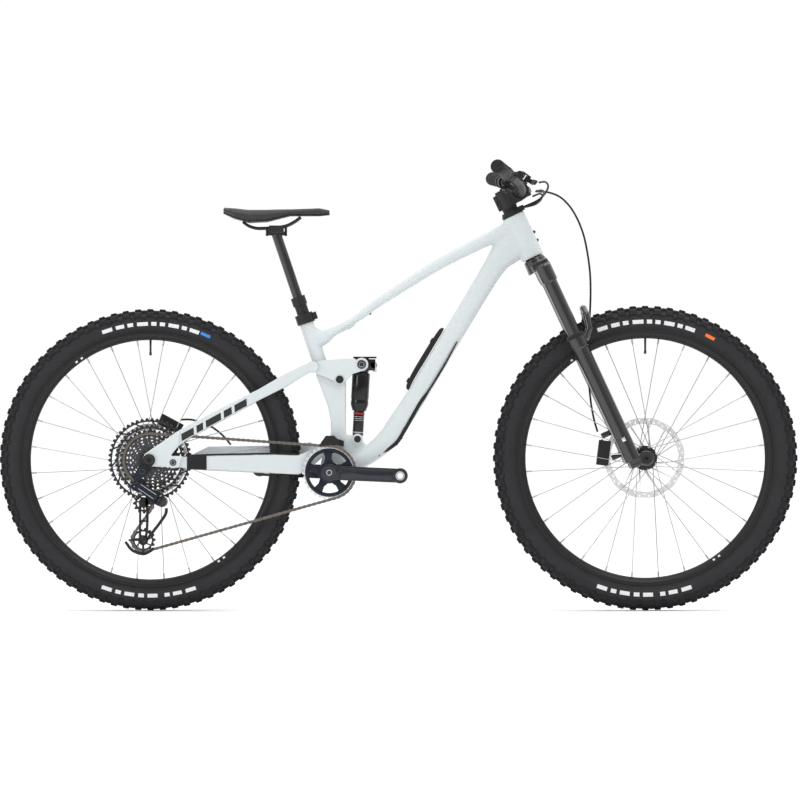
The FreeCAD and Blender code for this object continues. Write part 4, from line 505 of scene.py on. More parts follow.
def camera():
    data = bpy.data.cameras.new("camera")
    data.lens = 254.5
    data.sensor_width = 36.0
    data.clip_end = 100.0
    cam = place_in_scene("camera", data)
    cam.location = (BB.x + 0.1745, -14.0, 0.5207)
    cam.rotation_euler = (math.radians(90), 0, 0)
    bpy.context.scene.camera = cam


# ---- wheels ----
BEAD = 311.0


def tyre(name, body, node, centre):
    """Casing with a knobbed tread: centre pairs, transition and side knobs, all round."""
    low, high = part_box(node)
    outer = (high.z - low.z) / 2 / MM
    half = (high.y - low.y) / 2 / MM
    section = half - 3.6
    middle = outer - KNOB - section
    profile = []
    for i in range(33):
        t = math.radians(-146 + 292 * i / 32)
        profile.append((middle + section * math.cos(t), section * math.sin(t)))
    profile += [(BEAD + 1.5, 15.0), (BEAD + 1.5, 11.5)]
    profile = [(BEAD + 1.5, -11.5), (BEAD + 1.5, -15.0)] + profile
    wall = 3.0
    profile += [(middle + (section - wall) * math.cos(math.radians(146 - 292 * i / 16)),
        (section - wall) * math.sin(math.radians(146 - 292 * i / 16))) for i in range(17)]
    casing = Form().lathe(profile, centre, 192)
    shell = make_object(name + "_casing", casing, TYRE_WALL)
    shade(shell, 60)
    settle(shell, body, "tyre", node)

    form = Form()

    def knob_block(phase, angle, along, across, height, taper=0.78, skew=0.0):
        """One block: phase round the wheel, angle round the section from the crown, sizes in mm."""
        t = math.radians(angle)
        out = Vector((0, math.sin(t), math.cos(t)))
        side = Vector((0, math.cos(t), -math.sin(t)))
        root = Vector((0, section * math.sin(t), middle + section * math.cos(t)))
        cs, sn = math.cos(phase), math.sin(phase)
        def place(v):
            return centre + Vector((-v.z * sn + v.x * cs, v.y, v.z * cs + v.x * sn)) * MM
        rings = []
        for level, scale in ((-1.5, 1.08), (height - 1.0, taper + 0.08), (height, taper - 0.04)):
            ring = []
            for i, j in ((-1, -1), (1, -1), (1, 1), (-1, 1)):
                lift = root + out * level + side * (j * across / 2 * scale)
                lift.x = (i * along / 2 + skew * j * across / 2) * scale
                ring.append(place(lift))
            rings.append(ring)
        form.rings(rings)
    for i in range(TREAD_BLOCKS):
        phase = 2 * math.pi * i / TREAD_BLOCKS
        pitch = 2 * math.pi * outer / TREAD_BLOCKS
        odd = i % 2
        for s in SIDES:
            knob_block(phase, s * (9 if odd else 13), pitch * 0.52, 9.0, KNOB, skew=0.18 * s)
            knob_block(phase + math.pi / TREAD_BLOCKS, s * (34 if odd else 31), pitch * 0.44, 8.0, KNOB - 0.4)
            knob_block(phase + (0.12 if odd else 0.0) * math.pi / TREAD_BLOCKS, s * (56 if odd else 54), pitch * 0.58,
                12.5 if odd else 10.5, KNOB - 0.4, taper=0.86)
            knob_block(phase + 1.02 * math.pi / TREAD_BLOCKS, s * 71, pitch * 0.36, 6.5, 1.6)
    tread = make_object(name + "_tread", form, TYRE_TREAD)
    shade(tread, 25)
    settle(tread, body, "tyre")
    return middle, section


MARK_BARS = [(90 + offset, span) for offset, span in ((-19, 4.2), (-14.6, 2.2), (-10, 4.4), (-5.2, 2.2), (-1.6, 2.2),
    (3.2, 4.6), (8.4, 2.4), (12.8, 3.6), (18.4, 4.4))]
MARK_BARS += [(270 + offset, span) for offset, span in ((-18.6, 4.4), (-13.6, 2.4), (-8.8, 4.2), (-3.8, 2.4),
    (1.0, 4.2), (7.2, 2.2), (11.6, 3.8), (17.4, 4.4))]


def sidewall_marks(name, body, centre, middle, section, patch, patch_angle):
    """Plain bars in an arc on both sidewalls, high and low, and one coloured patch."""
    for label, mat, bars in (("bars", WHITE_MARK, MARK_BARS), ("patch", patch, [(patch_angle, 4.2)])):
        form = Form()
        for s in SIDES:
            for degrees, span in bars:
                for t0, t1 in ((92, 112),) if label == "bars" else ((91, 107),):
                    ring_low = [math.radians(t0 + (t1 - t0) * i / 4) for i in range(5)]
                    a0 = math.radians(degrees - span / 2)
                    a1 = math.radians(degrees + span / 2)
                    rings = []
                    for t in ring_low:
                        row = []
                        for level, a in ((0.15, a0), (0.15, a1), (-0.8, a1), (-0.8, a0)):
                            r = middle + (section + level) * math.cos(t)
                            y = s * (section + level) * math.sin(t)
                            row.append(centre + Vector((r * math.cos(a), y, r * math.sin(a))) * MM)
                        rings.append(row)
                    form.rings(rings)
        obj = make_object(name + "_" + label, form, mat)
        shade(obj, 30)
        settle(obj, body, "tyre")


def rim(name, body, node, centre):
    outline = [(296, 0), (296.6, 6), (300, 11.5), (305, 15.6), (309, 17.2), (314.5, 17.4), (316, 16.4), (315.4, 15.2),
        (311, 15.2), (308.5, 14.6), (307, 11), (304.5, 4)]
    outline = outline + [(r, -y) for r, y in reversed(outline[1:])]
    outline += [(304.5, 0)]
    obj = make_object(name, Form().lathe(outline, centre, 256), RIM_BLACK)
    shade(obj, 40)
    settle(obj, body, "rim", node)
    valve = Form()
    top = centre + Z * 296 * MM
    valve.rod(top - Z * 10 * MM, top + Z * 5 * MM, 2.9)
    valve.rod(top - Z * 34 * MM, top - Z * 10 * MM, 2.6)
    valve.rod(top - Z * 38 * MM, top - Z * 30 * MM, 3.2)
    hard_piece(name + "_valve", valve, SATIN_BLACK, body, "rim", edge=0.3)
    marks = Form()
    for s in SIDES:
        for degrees in (304, 307, 124, 127):
            a = math.radians(degrees)
            e1 = Vector((-math.sin(a), 0, math.cos(a)))
            out = wheelwards(a)
            marks.box(centre + (out * 303 + Y * (s * 14.6)) * MM, e1, out, Y * s, (-3, -2.6, -0.8), (3, 2.6, 0.9))
    hard_piece(name + "_marks", marks, WHITE_MARK, body, "rim", edge=0)


def hub(name, body, node, centre, flanges, core, caps, rotor_y):
    form = Form()
    (yl, rl), (yr, rr) = flanges
    prof = [(core, yr + 6), (rr * 0.72, yr + 1.6), (rr + 3.0, yr + 1.4), (rr + 3.0, yr - 1.4), (rr * 0.7, yr - 2.2),
        (core - 1, yr - 8), (core - 1, caps[0]), (8, caps[0]), (8, caps[1]), (core - 1, caps[1])]
    left = [(core - 1, yl + 9), (rl * 0.8, yl + 2), (rl + 3.0, yl + 1.5), (rl + 3.0, yl - 1.5), (rl * 0.66, yl - 3),
        (core, yl - 12)]
    form.lathe(prof + left, centre, 96)
    obj = make_object(name, form, SATIN_BLACK)
    shade(obj, 30)
    settle(obj, body, "black_alloy", node)
    carrier = Form()
    carrier.washer(centre + Y * rotor_y * MM, 25.0, 9.0, -2.5, 2.0)
    hard_piece(name + "_lockring", carrier, SATIN_BLACK, body, "black_alloy", edge=0.4)


def rotor(name, body, node, centre, radius, rotor_y):
    """Floating disc: pierced friction band, swept arms and a dark carrier."""
    mid = centre + Y * rotor_y * MM
    band = Form()
    sides = 240
    wave = 1.3
    outer_ring, inner_ring = [], []
    for i in range(sides):
        t = 2 * math.pi * i / sides
        ro = radius - wave * (0.5 + 0.5 * math.cos(t * 12))
        ri = radius - 15.0 - wave * (0.5 + 0.5 * math.cos(t * 12 + 1.0))
        outer_ring.append((ro, t))
        inner_ring.append((ri, t))
    rings = []
    for (ro, t), (ri, _) in zip(outer_ring, inner_ring):
        c, s = math.cos(t), math.sin(t)
        rings.append([mid + Vector((r * c, y, r * s)) * MM
            for r, y in ((ro, -0.93), (ro, 0.93), (ri, 0.93), (ri, -0.93))])
    band.rings(rings, closed=True)
    arms = Form()
    for i in range(12):
        t = 2 * math.pi * i / 12
        a = mid + wheelwards(t) * 26 * MM
        b = mid + wheelwards(t + ARM_SWEEP) * (radius - 13) * MM
        way = (b - a).normalized()
        arms.box(a, way, way.cross(Y), Y, (0, -1.9, -0.9), ((b - a).length / MM, 1.9, 0.9))
    band_obj = make_object(name, band, ROTOR_STEEL)
    holes = Form()
    for i in range(48):
        t = 2 * math.pi * i / 48
        r = radius - (5.2 if i % 2 else 10.4)
        spot = mid + wheelwards(t) * r * MM
        holes.rod(spot - Y * 0.003, spot + Y * 0.003, 2.2, sides=10)
    carve(band_obj, holes)
    shade(band_obj, 30)
    settle(band_obj, body, "rotor_steel", node)
    ring = Form().washer(mid, 31, 22, -0.95, 0.95)
    hard_piece(name + "_arms", arms, ROTOR_STEEL, body, "rotor_steel", edge=0.2)
    hard_piece(name + "_carrier", ring, ROTOR_STEEL, body, "rotor_steel", edge=0.2)


def wheels():
    for name, centre, patch, angle in (("front", FRONT, ORANGE_MARK, 62), ("rear", REAR, BLUE_MARK, 66)):
        body = name + "_wheel"
        middle, section = tyre(name + "_tyre_skin", body, name + "_tyre", centre)
        sidewall_marks(name + "_tyre_marks", body, centre, middle, section, patch, angle)
        rim(name + "_rim_skin", body, name + "_rim", centre)
        dress(name + "_spokes", SPOKE_STEEL, 60)
    hub("front_hub_skin", "front_wheel", "front_hub", FRONT, ((27, 27.5), (-31, 25.5)), 12, (-54.5, 54.5), 37)
    hub("rear_hub_skin", "rear_wheel", "rear_hub", REAR, ((38, 28.5), (-21, 29)), 14, (-22, 73.5), 51)
    rotor("front_rotor_skin", "front_wheel", "front_rotor", FRONT, 100, 41)
    rotor("rear_rotor_skin", "rear_wheel", "rear_rotor", REAR, 90, 55.7)


# ---- frame ----
def swept(stations, power=2.6):
    """A tube through (centre, depth, width) stations, each cut square to the tube's run."""
    centres = [s[0] for s in stations]
    rings = []
    for i, (centre, depth, width) in enumerate(stations):
        rings.append(oval_ring(centre, heading(centres, i), depth, width, power))
    return rings


def fine_stations(rows, steps=5):
    """Smooths a short list of (centre, depth, width) stations into a finer one."""
    path = smooth_path([r[0] for r in rows], steps)
    sizes = smooth_path([Vector((r[1], r[2], 0)) for r in rows], steps)
    return [(c, s.x, s.y) for c, s in zip(path, sizes)]


SEAT_TOP = bb(-64.1, 390.3)


def seat_line(z):
    """A point on the seat tube's line at this height in mm above the bottom bracket."""
    drop = (390.3 - z) / -POST_DOWN.z
    return SEAT_TOP + POST_DOWN * drop * MM


def front_frame():
    form = Form()
    form.rod(steer(567, 0), steer(682.3, 0), 29.3, 28.6, sides=48)
    down = [(bb(40, 10), 52, 66), (bb(80, 32), 44, 64), (bb(116, 56.5), 47, 60), (bb(150, 89), 53, 55),
        (bb(170, 120), 52, 52), (bb(217, 192), 50, 49), (bb(320, 364.4), 49, 48), (bb(403, 501), 52, 50),
        (bb(436, 545), 72, 52), (bb(470, 572), 84, 52)]
    form.rings(swept(fine_stations(down), 2.7))
    top = [(bb(-46, 333), 56, 34), (bb(-18, 333.5), 40, 36), (bb(4, 345), 25, 37), (bb(35, 362), 17, 38),
        (bb(68, 381), 17.5, 38), (bb(88, 396), 20, 38), (bb(110, 413), 21.5, 38), (bb(145, 436), 23.5, 38),
        (bb(257, 507.5), 28, 38), (bb(340, 552), 31, 41), (bb(405, 583), 34, 45), (bb(455, 603), 46, 48)]
    form.rings(swept(fine_stations(top), 2.5))
    form.rod(seat_line(390), seat_line(212), 17.8, sides=40)
    form.prism([(-33, 240), (-3.7, 163.8), (3.5, 128.9), (3.5, 92.6), (-12, 66), (-22, 20), (-20, -12), (6, -25),
        (60, -6), (96, 30), (96, 60), (84, 76), (55, 92.3), (40.8, 92.6), (40.8, 224.5), (24, 245), (-16, 262)],
        -18.5, 18.5)
    form.rod(bb(0, 0, -36), bb(0, 0, 36), 23.2, sides=48)
    form.prism([(0, 330), (40, 364), (72, 384), (60, 360), (20, 342)], -6, 6)
    obj = make_object("front_frame_skin", form, PAINT)
    melt(obj, 1.9, 22)
    settle(obj, "frame", "frame_paint", "front_frame")
    lugs = Form()
    for side in SIDES:
        lugs.rod(bb(*SHOCK_FOOT, side * 16), bb(*SHOCK_FOOT, side * 25.0), 13.6, sides=48)
    hard_piece("shock_lugs", lugs, PAINT, "frame", "frame_paint", edge=1.2)
    ports = Form()
    for spot in ((506, 595), (514, 575)):
        ports.ball(bb(*spot), 4.2)
    hard_piece("cable_ports", ports, PLASTIC, "frame", "black_plastic", edge=0)


# ---- guards and trim ----
def ribbon(form, path, thick, width, lift=0.0):
    """A flexible strip laid along a path in the bike's plane; thick is how far it stands off to the path's right."""
    rings = []
    count = len(path)
    for k, point in enumerate(path):
        off = heading(path, k).cross(Y) * -1
        t = thick(k / (count - 1)) if callable(thick) else thick
        w = width / 2
        rings.append([point + (off * a + Y * b) * MM for a, b in ((lift, -w), (lift, w), (lift + t * 0.6, w),
            (lift + t, w * 0.8), (lift + t, -w * 0.8), (lift + t * 0.6, -w))])
    form.rings(rings)


def trim_pieces():
    low = smooth_path([bb(81, 21.5), bb(129, 44), bb(166, 70), bb(189, 104), bb(226.6, 170), bb(249, 199),
        bb(286.6, 258.6), bb(321, 320)], 8)
    guard = Form()
    def depth(t):
        return float(np.interp(t, (0.0, 0.14, 0.29, 0.43, 0.62, 0.71, 0.86, 1.0),
            (3.0, 7.0, 9.5, 9.0, 9.0, 5.0, 4.5, 3.0)))
    ribbon(guard, low, depth, 50, lift=-7.0)
    for share in (0.14, 0.29, 0.36):
        k = int(share * (len(low) - 1))
        way = (low[k + 1] - low[k]).normalized()
        guard.box(low[k], way, way.cross(Y) * -1, Y, (-2, -5, -25.6), (2, depth(share) - 6.0, 25.6))
    hard_piece("down_tube_guard_skin", guard, RUBBER, "frame", "black_rubber", ("down_tube_guard",), edge=1.2)
    rail = Form()
    top = smooth_path([bb(194, 204), bb(199, 216), bb(214, 243), bb(236, 279), bb(258, 316), bb(276, 346),
        bb(281, 357)], 6)
    ribbon(rail, list(reversed(top)), lambda t: 4.5 + 9.0 * max(0.0, math.sin(math.pi * t)) ** 0.5, 17, lift=-2.5)
    for share in (0.24, 0.72):
        k = int(share * (len(top) - 1))
        way = (top[k + 1] - top[k]).normalized()
        rail.box(top[k], way, way.cross(Y), Y, (-6, 1, -8.6), (6, 12.5, 8.6))
    hard_piece("accessory_strip_skin", rail, PLASTIC, "frame", "black_plastic", ("accessory_strip",), edge=1.4)
    stops = Form()
    for x, z in ((100, 393.5), (48, 358.5)):
        stops.rod(bb(x, z, -5), bb(x, z, 5), 3.6)
    hard_piece("top_tube_bosses", stops, PLASTIC, "frame", "black_plastic", edge=0.5)


def bolt(name, spot, y, radius, side, body, ring=True):
    """A black socket-head bolt with a bright chamfer."""
    base = bb(spot[0], spot[1], y)
    out = Y * side
    head = Form().spin(base, out, [(-2, radius), (1.2, radius), (2.0, radius * 0.86), (2.0, radius * 0.5),
        (0.4, radius * 0.46)])
    hard_piece(name, head, GLOSS_BLACK, body, "black_alloy", edge=0)
    if ring:
        rim_form = Form().washer(base, radius * 0.60, radius * 0.50, *sorted((side * 1.7, side * 2.2)), sides=40)
        hard_piece(name + "_ring", rim_form, STEEL, body, "steel", edge=0)


def suspension_trim():
    for side in SIDES:
        tag = "right" if side == RIGHT else "left"
        bolt("rocker_bolt_" + tag, near("rocker_turn"), side * 29.2, 9.0, side, "rocker")
        bolt("shock_bolt_" + tag, SHOCK_TOP, side * 30.8, 11.2, side, "rocker")
        bolt("shock_foot_bolt_" + tag, SHOCK_FOOT, side * 25.4, 8.0, side, "frame")
        bolt("horst_bolt_" + tag, near("horst_pivot"), side * 83.2, 8.2, side, "seatstay")
    axle = Form()
    here = (REAR.x - BB.x) / MM, (REAR.z - BB.z) / MM
    base = bb(here[0], here[1], -84.0)
    axle.spin(base, -Y, [(0, 12.5), (7.5, 12.5), (8.4, 11.4), (8.4, 7.4), (4, 7.0)])
    hard_piece("axle_cap", axle, SATIN_BLACK, "seatstay", "black_alloy", edge=0)
    ring = Form().washer(bb(here[0], here[1], -92.4), 10.8, 8.6, -0.4, 0.3)
    hard_piece("axle_cap_ring", ring, GLOSS_BLACK, "seatstay", "black_alloy", edge=0)
    marks = Form()
    foot = Vector((-372, 0, 81))
    way = Vector((315, 0, 172)).normalized()
    for start, length in ((10, 34), (52, 18), (78, 42), (128, 22), (158, 34)):
        rise = Vector((-way.z, 0, way.x))
        for side in SIDES:
            ring_points = []
            for level in (-7.5, 8.5):
                for along in (start, start + length):
                    ring_points.append((foot + way * (along + level * 0.45) + rise * level, level))
            rows = []
            for y_off in (-1.0, 0.45):
                quad = [ring_points[0][0], ring_points[1][0], ring_points[3][0], ring_points[2][0]]
                rows.append([bb(q.x, q.z, side * (stay_outer(q.x) + y_off)) for q in quad])
            marks.rings(rows)
    hard_piece("stay_marks", marks, BLACK_MARK, "seatstay", "frame_paint", edge=0)


def stay_outer(x):
    """How far the seatstay's outer face stands from the bike's plane."""
    table = ((-380, 80.0), (-345.3, 74.0), (-260, 60.0), (-171.5, 50.0), (-112, 46.0), (-62, 39.0))
    return float(np.interp(x, [t[0] for t in table], [t[1] for t in table]))


def shock():
    foot = bb(*SHOCK_FOOT)
    top = bb(*SHOCK_TOP)
    length = (top - foot).length / MM
    way = (top - foot).normalized()
    can = Form().spin(foot, way, [(70, 14.6), (70, 17.2), (74, 18), (80, 20.4), (86, 21.9), (92, 22), (96, 21.2),
        (98, 21.2), (102, 22), (length - 24, 22), (length - 21, 21), (length - 20, 17)])
    can.spin(foot, way, [(length - 21, 17), (length - 17, 19), (length + 14, 19), (length + 16, 16)])
    can.box(top, X, Y, Z, (4, -13, -15), (34, 13, 13))
    can.rod(top + (X * 30 - Z * 2) * MM - Y * 0.013, top + (X * 30 - Z * 2) * MM + Y * 0.013, 8.5)
    can.box(top, X, Y, Z, (-21, -12, 15), (37, 12, 19.5))
    hard_piece("shock_can", can, SHOCK_BLACK, "shock_body", "shock_black", ("shock_body",), edge=1.0)
    lever = Form().box(top, X, Y, Z, (33, -16, -17), (37, -13, 6)).box(top, X, Y, Z, (27, -16.4, -19),
        (37, -12.6, -15))
    hard_piece("shock_lever", lever, STEEL, "shock_body", "steel", edge=0.8)
    stripe = Form()
    for d in (108, length - 28):
        stripe.spin(foot, way, [(d, 22.15), (d + 0.9, 22.15), (d + 0.9, 20), (d, 20)])
    hard_piece("shock_can_lines", stripe, SATIN_BLACK, "shock_body", "shock_black", edge=0)
    shaft = Form().spin(foot, way, [(7, 12), (12, 13.6), (103, 13.4)])
    shaft.spin(foot + (Y * -15.1) * MM, Y, [(0, 11.8), (30.2, 11.8)])
    hard_piece("shock_shaft_skin", shaft, SHOCK_BLACK, "shock_shaft", "shock_chrome", ("shock_shaft",), edge=0.8)
    rings = Form()
    for d, w in ((15.5, 2.6), (46, 1.0), (50.5, 1.0), (55, 1.0)):
        rings.spin(foot, way, [(d, 13.9), (d + w, 13.9), (d + w, 12), (d, 12)])
    hard_piece("shock_rings", rings, STEEL, "shock_shaft", "shock_chrome", edge=0)
    band = Form().spin(foot, way, [(61.5, 13.5), (62.4, 14.5), (64.6, 14.5), (65.5, 13.5)])
    hard_piece("travel_ring", band, RED, "shock_shaft", "black_rubber", edge=0)


# ---- drivetrain ----
CASSETTE = (50, 42, 36, 32, 28, 24, 21, 18, 16, 14, 12, 10)
COG_Y = tuple(-28.5 - 3.65 * i for i in range(12))
RING_TEETH, USED = 32, 3
CHAIN_LINE = -52.0


def cassette():
    for label, mat, chosen in (("dark", COG_DARK, (0, 1, 2, 3, 10, 11)), ("bright", COG_BRIGHT, (4, 5, 6, 7, 8, 9))):
        form = Form()
        for i in chosen:
            teeth = CASSETTE[i]
            radius = pitch_radius(teeth)
            inner = radius - (7.4 if i < 5 else 6.4)
            form.toothed(REAR, teeth, inner, COG_Y[i], 1.7)
            if i < 11:
                deeper = pitch_radius(CASSETTE[i + 1]) - 3
                form.spokes_between(REAR, 14 if i < 3 else 11, deeper - 2, inner + 1.5, 4.2 if i < 3 else 3.2,
                    COG_Y[i], 1.7, sweep=0.16, phase=0.2 * i)
        if label == "dark":
            form.washer(REAR, 17.5, 11.5, COG_Y[11] - 2.4, COG_Y[0] + 4)
            hard_piece("cassette_skin", form, mat, "cassette", "cassette_steel", ("cassette",), edge=0, angle=30)
        else:
            hard_piece("cassette_middle", form, mat, "cassette", "cassette_steel", edge=0, angle=30)


def chainring():
    ring = Form().toothed(BB, RING_TEETH, pitch_radius(RING_TEETH) - 9.0, CHAIN_LINE, 2.2)
    hard_piece("chainring_teeth", ring, ROTOR_STEEL, "crankset", "chainring_steel", ("chainring",), edge=0, angle=30)
    web = Form().washer(BB, 60.0, 50.5, CHAIN_LINE - 2.6, CHAIN_LINE + 1.0, sides=96)
    web.washer(BB, 27.0, 15.0, -59.4, CHAIN_LINE + 3)
    for i in range(5):
        t = 2 * math.pi * (i + 0.3) / 5
        way = wheelwards(t)
        side = way.cross(Y)
        rows = []
        for r, w in ((20, 13), (36, 8.0), (53, 12)):
            spot = BB + way * r * MM
            rows.append([spot + (side * a + Y * b) * MM for a, b in ((-w, CHAIN_LINE - 2.6), (w, CHAIN_LINE - 2.6),
                (w, CHAIN_LINE + 1), (-w, CHAIN_LINE + 1))])
        web.rings(rows)
    hard_piece("chainring_web", web, NAVY_DARK, "crankset", "crank_alloy", edge=0.8)


def cranks():
    for side, joint_side in ((RIGHT, 1), (LEFT, -1)):
        node = "right_crank" if side == RIGHT else "left_crank"
        cast_from(node, NAVY, "crank_alloy", 1.0, 5)
        way = Vector((math.cos(CRANK_DROP) * joint_side, 0, -math.sin(CRANK_DROP) * joint_side))
        out = Y * side
        foot = BB + out * CRANK_Y * MM
        trim = Form().spin(foot + out * 15 * MM, out, [(-1, 17.0), (0.8, 16.4), (0.8, 12.8), (-0.8, 12.4)])
        hard_piece(node + "_cap", trim, GLOSS_BLACK, "crankset", "crank_alloy", edge=0)
        bright = Form().washer(foot + (way * CRANK_LENGTH + out * (CRANK_FLARE + 13.3)) * MM, 11.2, 7.6, -1.0, 0.5,
            sides=48)
        bright.washer(foot + out * 15 * MM, 7.2, 5.2, -0.6, 1.1, sides=36)
        hard_piece(node + "_bright", bright, STEEL, "crankset", "steel", edge=0)
        facet = Form()
        flat = way.cross(Y)
        lean = CRANK_FLARE / CRANK_LENGTH
        def on_arm(along, across, proud):
            return foot + (way * along + flat * across + out * (12.6 + along * lean + proud)) * MM
        rows = [[on_arm(30, -15, -1), on_arm(30, 15, -1), on_arm(30, 11, 0.9), on_arm(30, -11, 0.9)],
            [on_arm(70, -14.5, -1), on_arm(70, 14.5, -1), on_arm(70, 3, 2.1), on_arm(70, -3, 2.1)],
            [on_arm(156, -13, -1), on_arm(156, 13, -1), on_arm(156, 10, 0.5), on_arm(156, -10, 0.5)]]
        facet.rings(rows)
        hard_piece(node + "_ridge", facet, NAVY, "crankset", "crank_alloy", edge=0.5)


def touch(c1, r1, c2, r2, s1, s2):
    """Where a straight chain run leaves one circle and meets the next; the signs say which side it runs on."""
    gap = (c2 - c1).length
    base = math.atan2(c2.y - c1.y, c2.x - c1.x)
    lean = math.acos((s1 * r1 - s2 * r2) / gap)
    way = Vector((math.cos(base + lean), math.sin(base + lean)))
    return c1 + way * (s1 * r1), c2 + way * (s2 * r2)


def chain_route():
    """The closed run of pins: (forward, up) and y in mm, and what each stretch lies on."""
    ring, cog = Vector((0, 0)), Vector(((REAR.x - BB.x) / MM, (REAR.z - BB.z) / MM))
    upper, lower = Vector(UPPER_JOCKEY), Vector(LOWER_JOCKEY)
    rr, rc, ru, rl = (pitch_radius(n) for n in (RING_TEETH, CASSETTE[USED], *JOCKEY_TEETH))
    y_rear = COG_Y[USED]
    top_rear, top_front = touch(cog, rc, ring, rr, 1, 1)
    low_front, low_rear = touch(ring, rr, lower, rl, 1, 1)
    jock_low, jock_up = touch(lower, rl, upper, ru, 1, -1)
    leave, meet = touch(upper, ru, cog, rc, -1, 1)
    out = []
    def run(a, b, ya, yb, tag):
        steps = max(2, int((b - a).length / 2))
        out.extend(((a + (b - a) * k / steps, ya + (yb - ya) * k / steps, tag) for k in range(steps)))
    def wrap(centre, a, b, y, turn, tag):
        t0 = math.atan2(a.y - centre.y, a.x - centre.x)
        t1 = math.atan2(b.y - centre.y, b.x - centre.x)
        while turn * (t1 - t0) < 0:
            t1 += turn * 2 * math.pi
        radius = (a - centre).length
        steps = max(2, int(abs(t1 - t0) * radius / 2))
        for k in range(steps):
            t = t0 + (t1 - t0) * k / steps
            out.append((centre + Vector((math.cos(t), math.sin(t))) * radius, y, tag))
    run(top_rear, top_front, y_rear, CHAIN_LINE, "run")
    wrap(ring, top_front, low_front, CHAIN_LINE, -1, "ring")
    run(low_front, low_rear, CHAIN_LINE, y_rear, "run")
    wrap(lower, low_rear, jock_low, y_rear, -1, "cage")
    run(jock_low, jock_up, y_rear, y_rear, "cage")
    wrap(upper, jock_up, leave, y_rear, 1, "cage")
    run(leave, meet, y_rear, y_rear, "cog")
    wrap(cog, meet, top_rear, y_rear, -1, "cog")
    return out


def chain():
    """Plates and pins, one link at a time."""
    route = chain_route()
    places = [bb(p.x, p.y, y) for p, y, _ in route]
    tags = [tag for _, _, tag in route]
    lengths = [0.0]
    for a, b in zip(places, places[1:] + places[:1]):
        lengths.append(lengths[-1] + (b - a).length)
    total = lengths[-1]
    count = 2 * round(total / (CHAIN_PITCH * MM) / 2)
    pins = []
    k = 0
    for n in range(count):
        want = total * n / count
        while lengths[k + 1] < want:
            k += 1
        share = (want - lengths[k]) / (lengths[k + 1] - lengths[k])
        pins.append((places[k].lerp(places[(k + 1) % len(places)], share), tags[k]))
    forms = {}
    for n, (a, tag) in enumerate(pins):
        b = pins[(n + 1) % count][0]
        middle = ((a + b) / 2 - BB) / MM
        if tag == "run":
            tag = "near" if middle.x > -300 else ("far" if middle.x > -384 else "cog")
        form = forms.setdefault(tag, Form())
        way = (b - a).normalized()
        up = way.cross(Y).normalized()
        wide, thick = (2.55, 0.8) if n % 2 else (1.75, 0.75)
        for side in SIDES:
            outline = [(-4.0, -1.6), (-2.6, -3.7), (2.6, -3.7), (6.35, -2.7), (10.1, -3.7), (15.3, -3.7),
                (16.7, -1.6), (16.7, 1.6), (15.3, 3.7), (10.1, 3.7), (6.35, 2.7), (2.6, 3.7), (-2.6, 3.7),
                (-4.0, 1.6)]
            form.rings([[a + (way * d + up * h + Y * (side * wide + y)) * MM for d, h in outline]
                for y in (-thick / 2, thick / 2)])
        form.rod(a - Y * 3.1 * MM, a + Y * 3.1 * MM, 1.8, sides=8)
    for tag, form in forms.items():
        obj = make_object("chain_" + tag, form, CHAIN_STEEL)
        shade(obj, 30)
        if tag == "near":
            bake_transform(obj)
        elif tag == "far":
            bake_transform(obj)
        else:
            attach(obj, {"ring": "frame", "cog": "seatstay", "cage": "derailleur_cage"}[tag])
        if tag == "cog":
            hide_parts("chain")


def jockeys():
    for name, spot, teeth in zip(("upper", "lower"), (UPPER_JOCKEY, LOWER_JOCKEY), JOCKEY_TEETH):
        centre = bb(*spot)
        radius = pitch_radius(teeth)
        form = Form().toothed(centre, teeth, radius - 7.5, COG_Y[USED], 2.0)
        form.washer(centre, 9.0, 4.2, COG_Y[USED] - 2.2, COG_Y[USED] + 2.2)
        form.spokes_between(centre, 7, 8, radius - 6.5, 3.6, COG_Y[USED], 2.0, sweep=0.3)
        hard_piece(name + "_jockey_skin", form, COG_DARK, name + "_jockey", "black_plastic",
            (name + "_jockey_wheel",), edge=0)


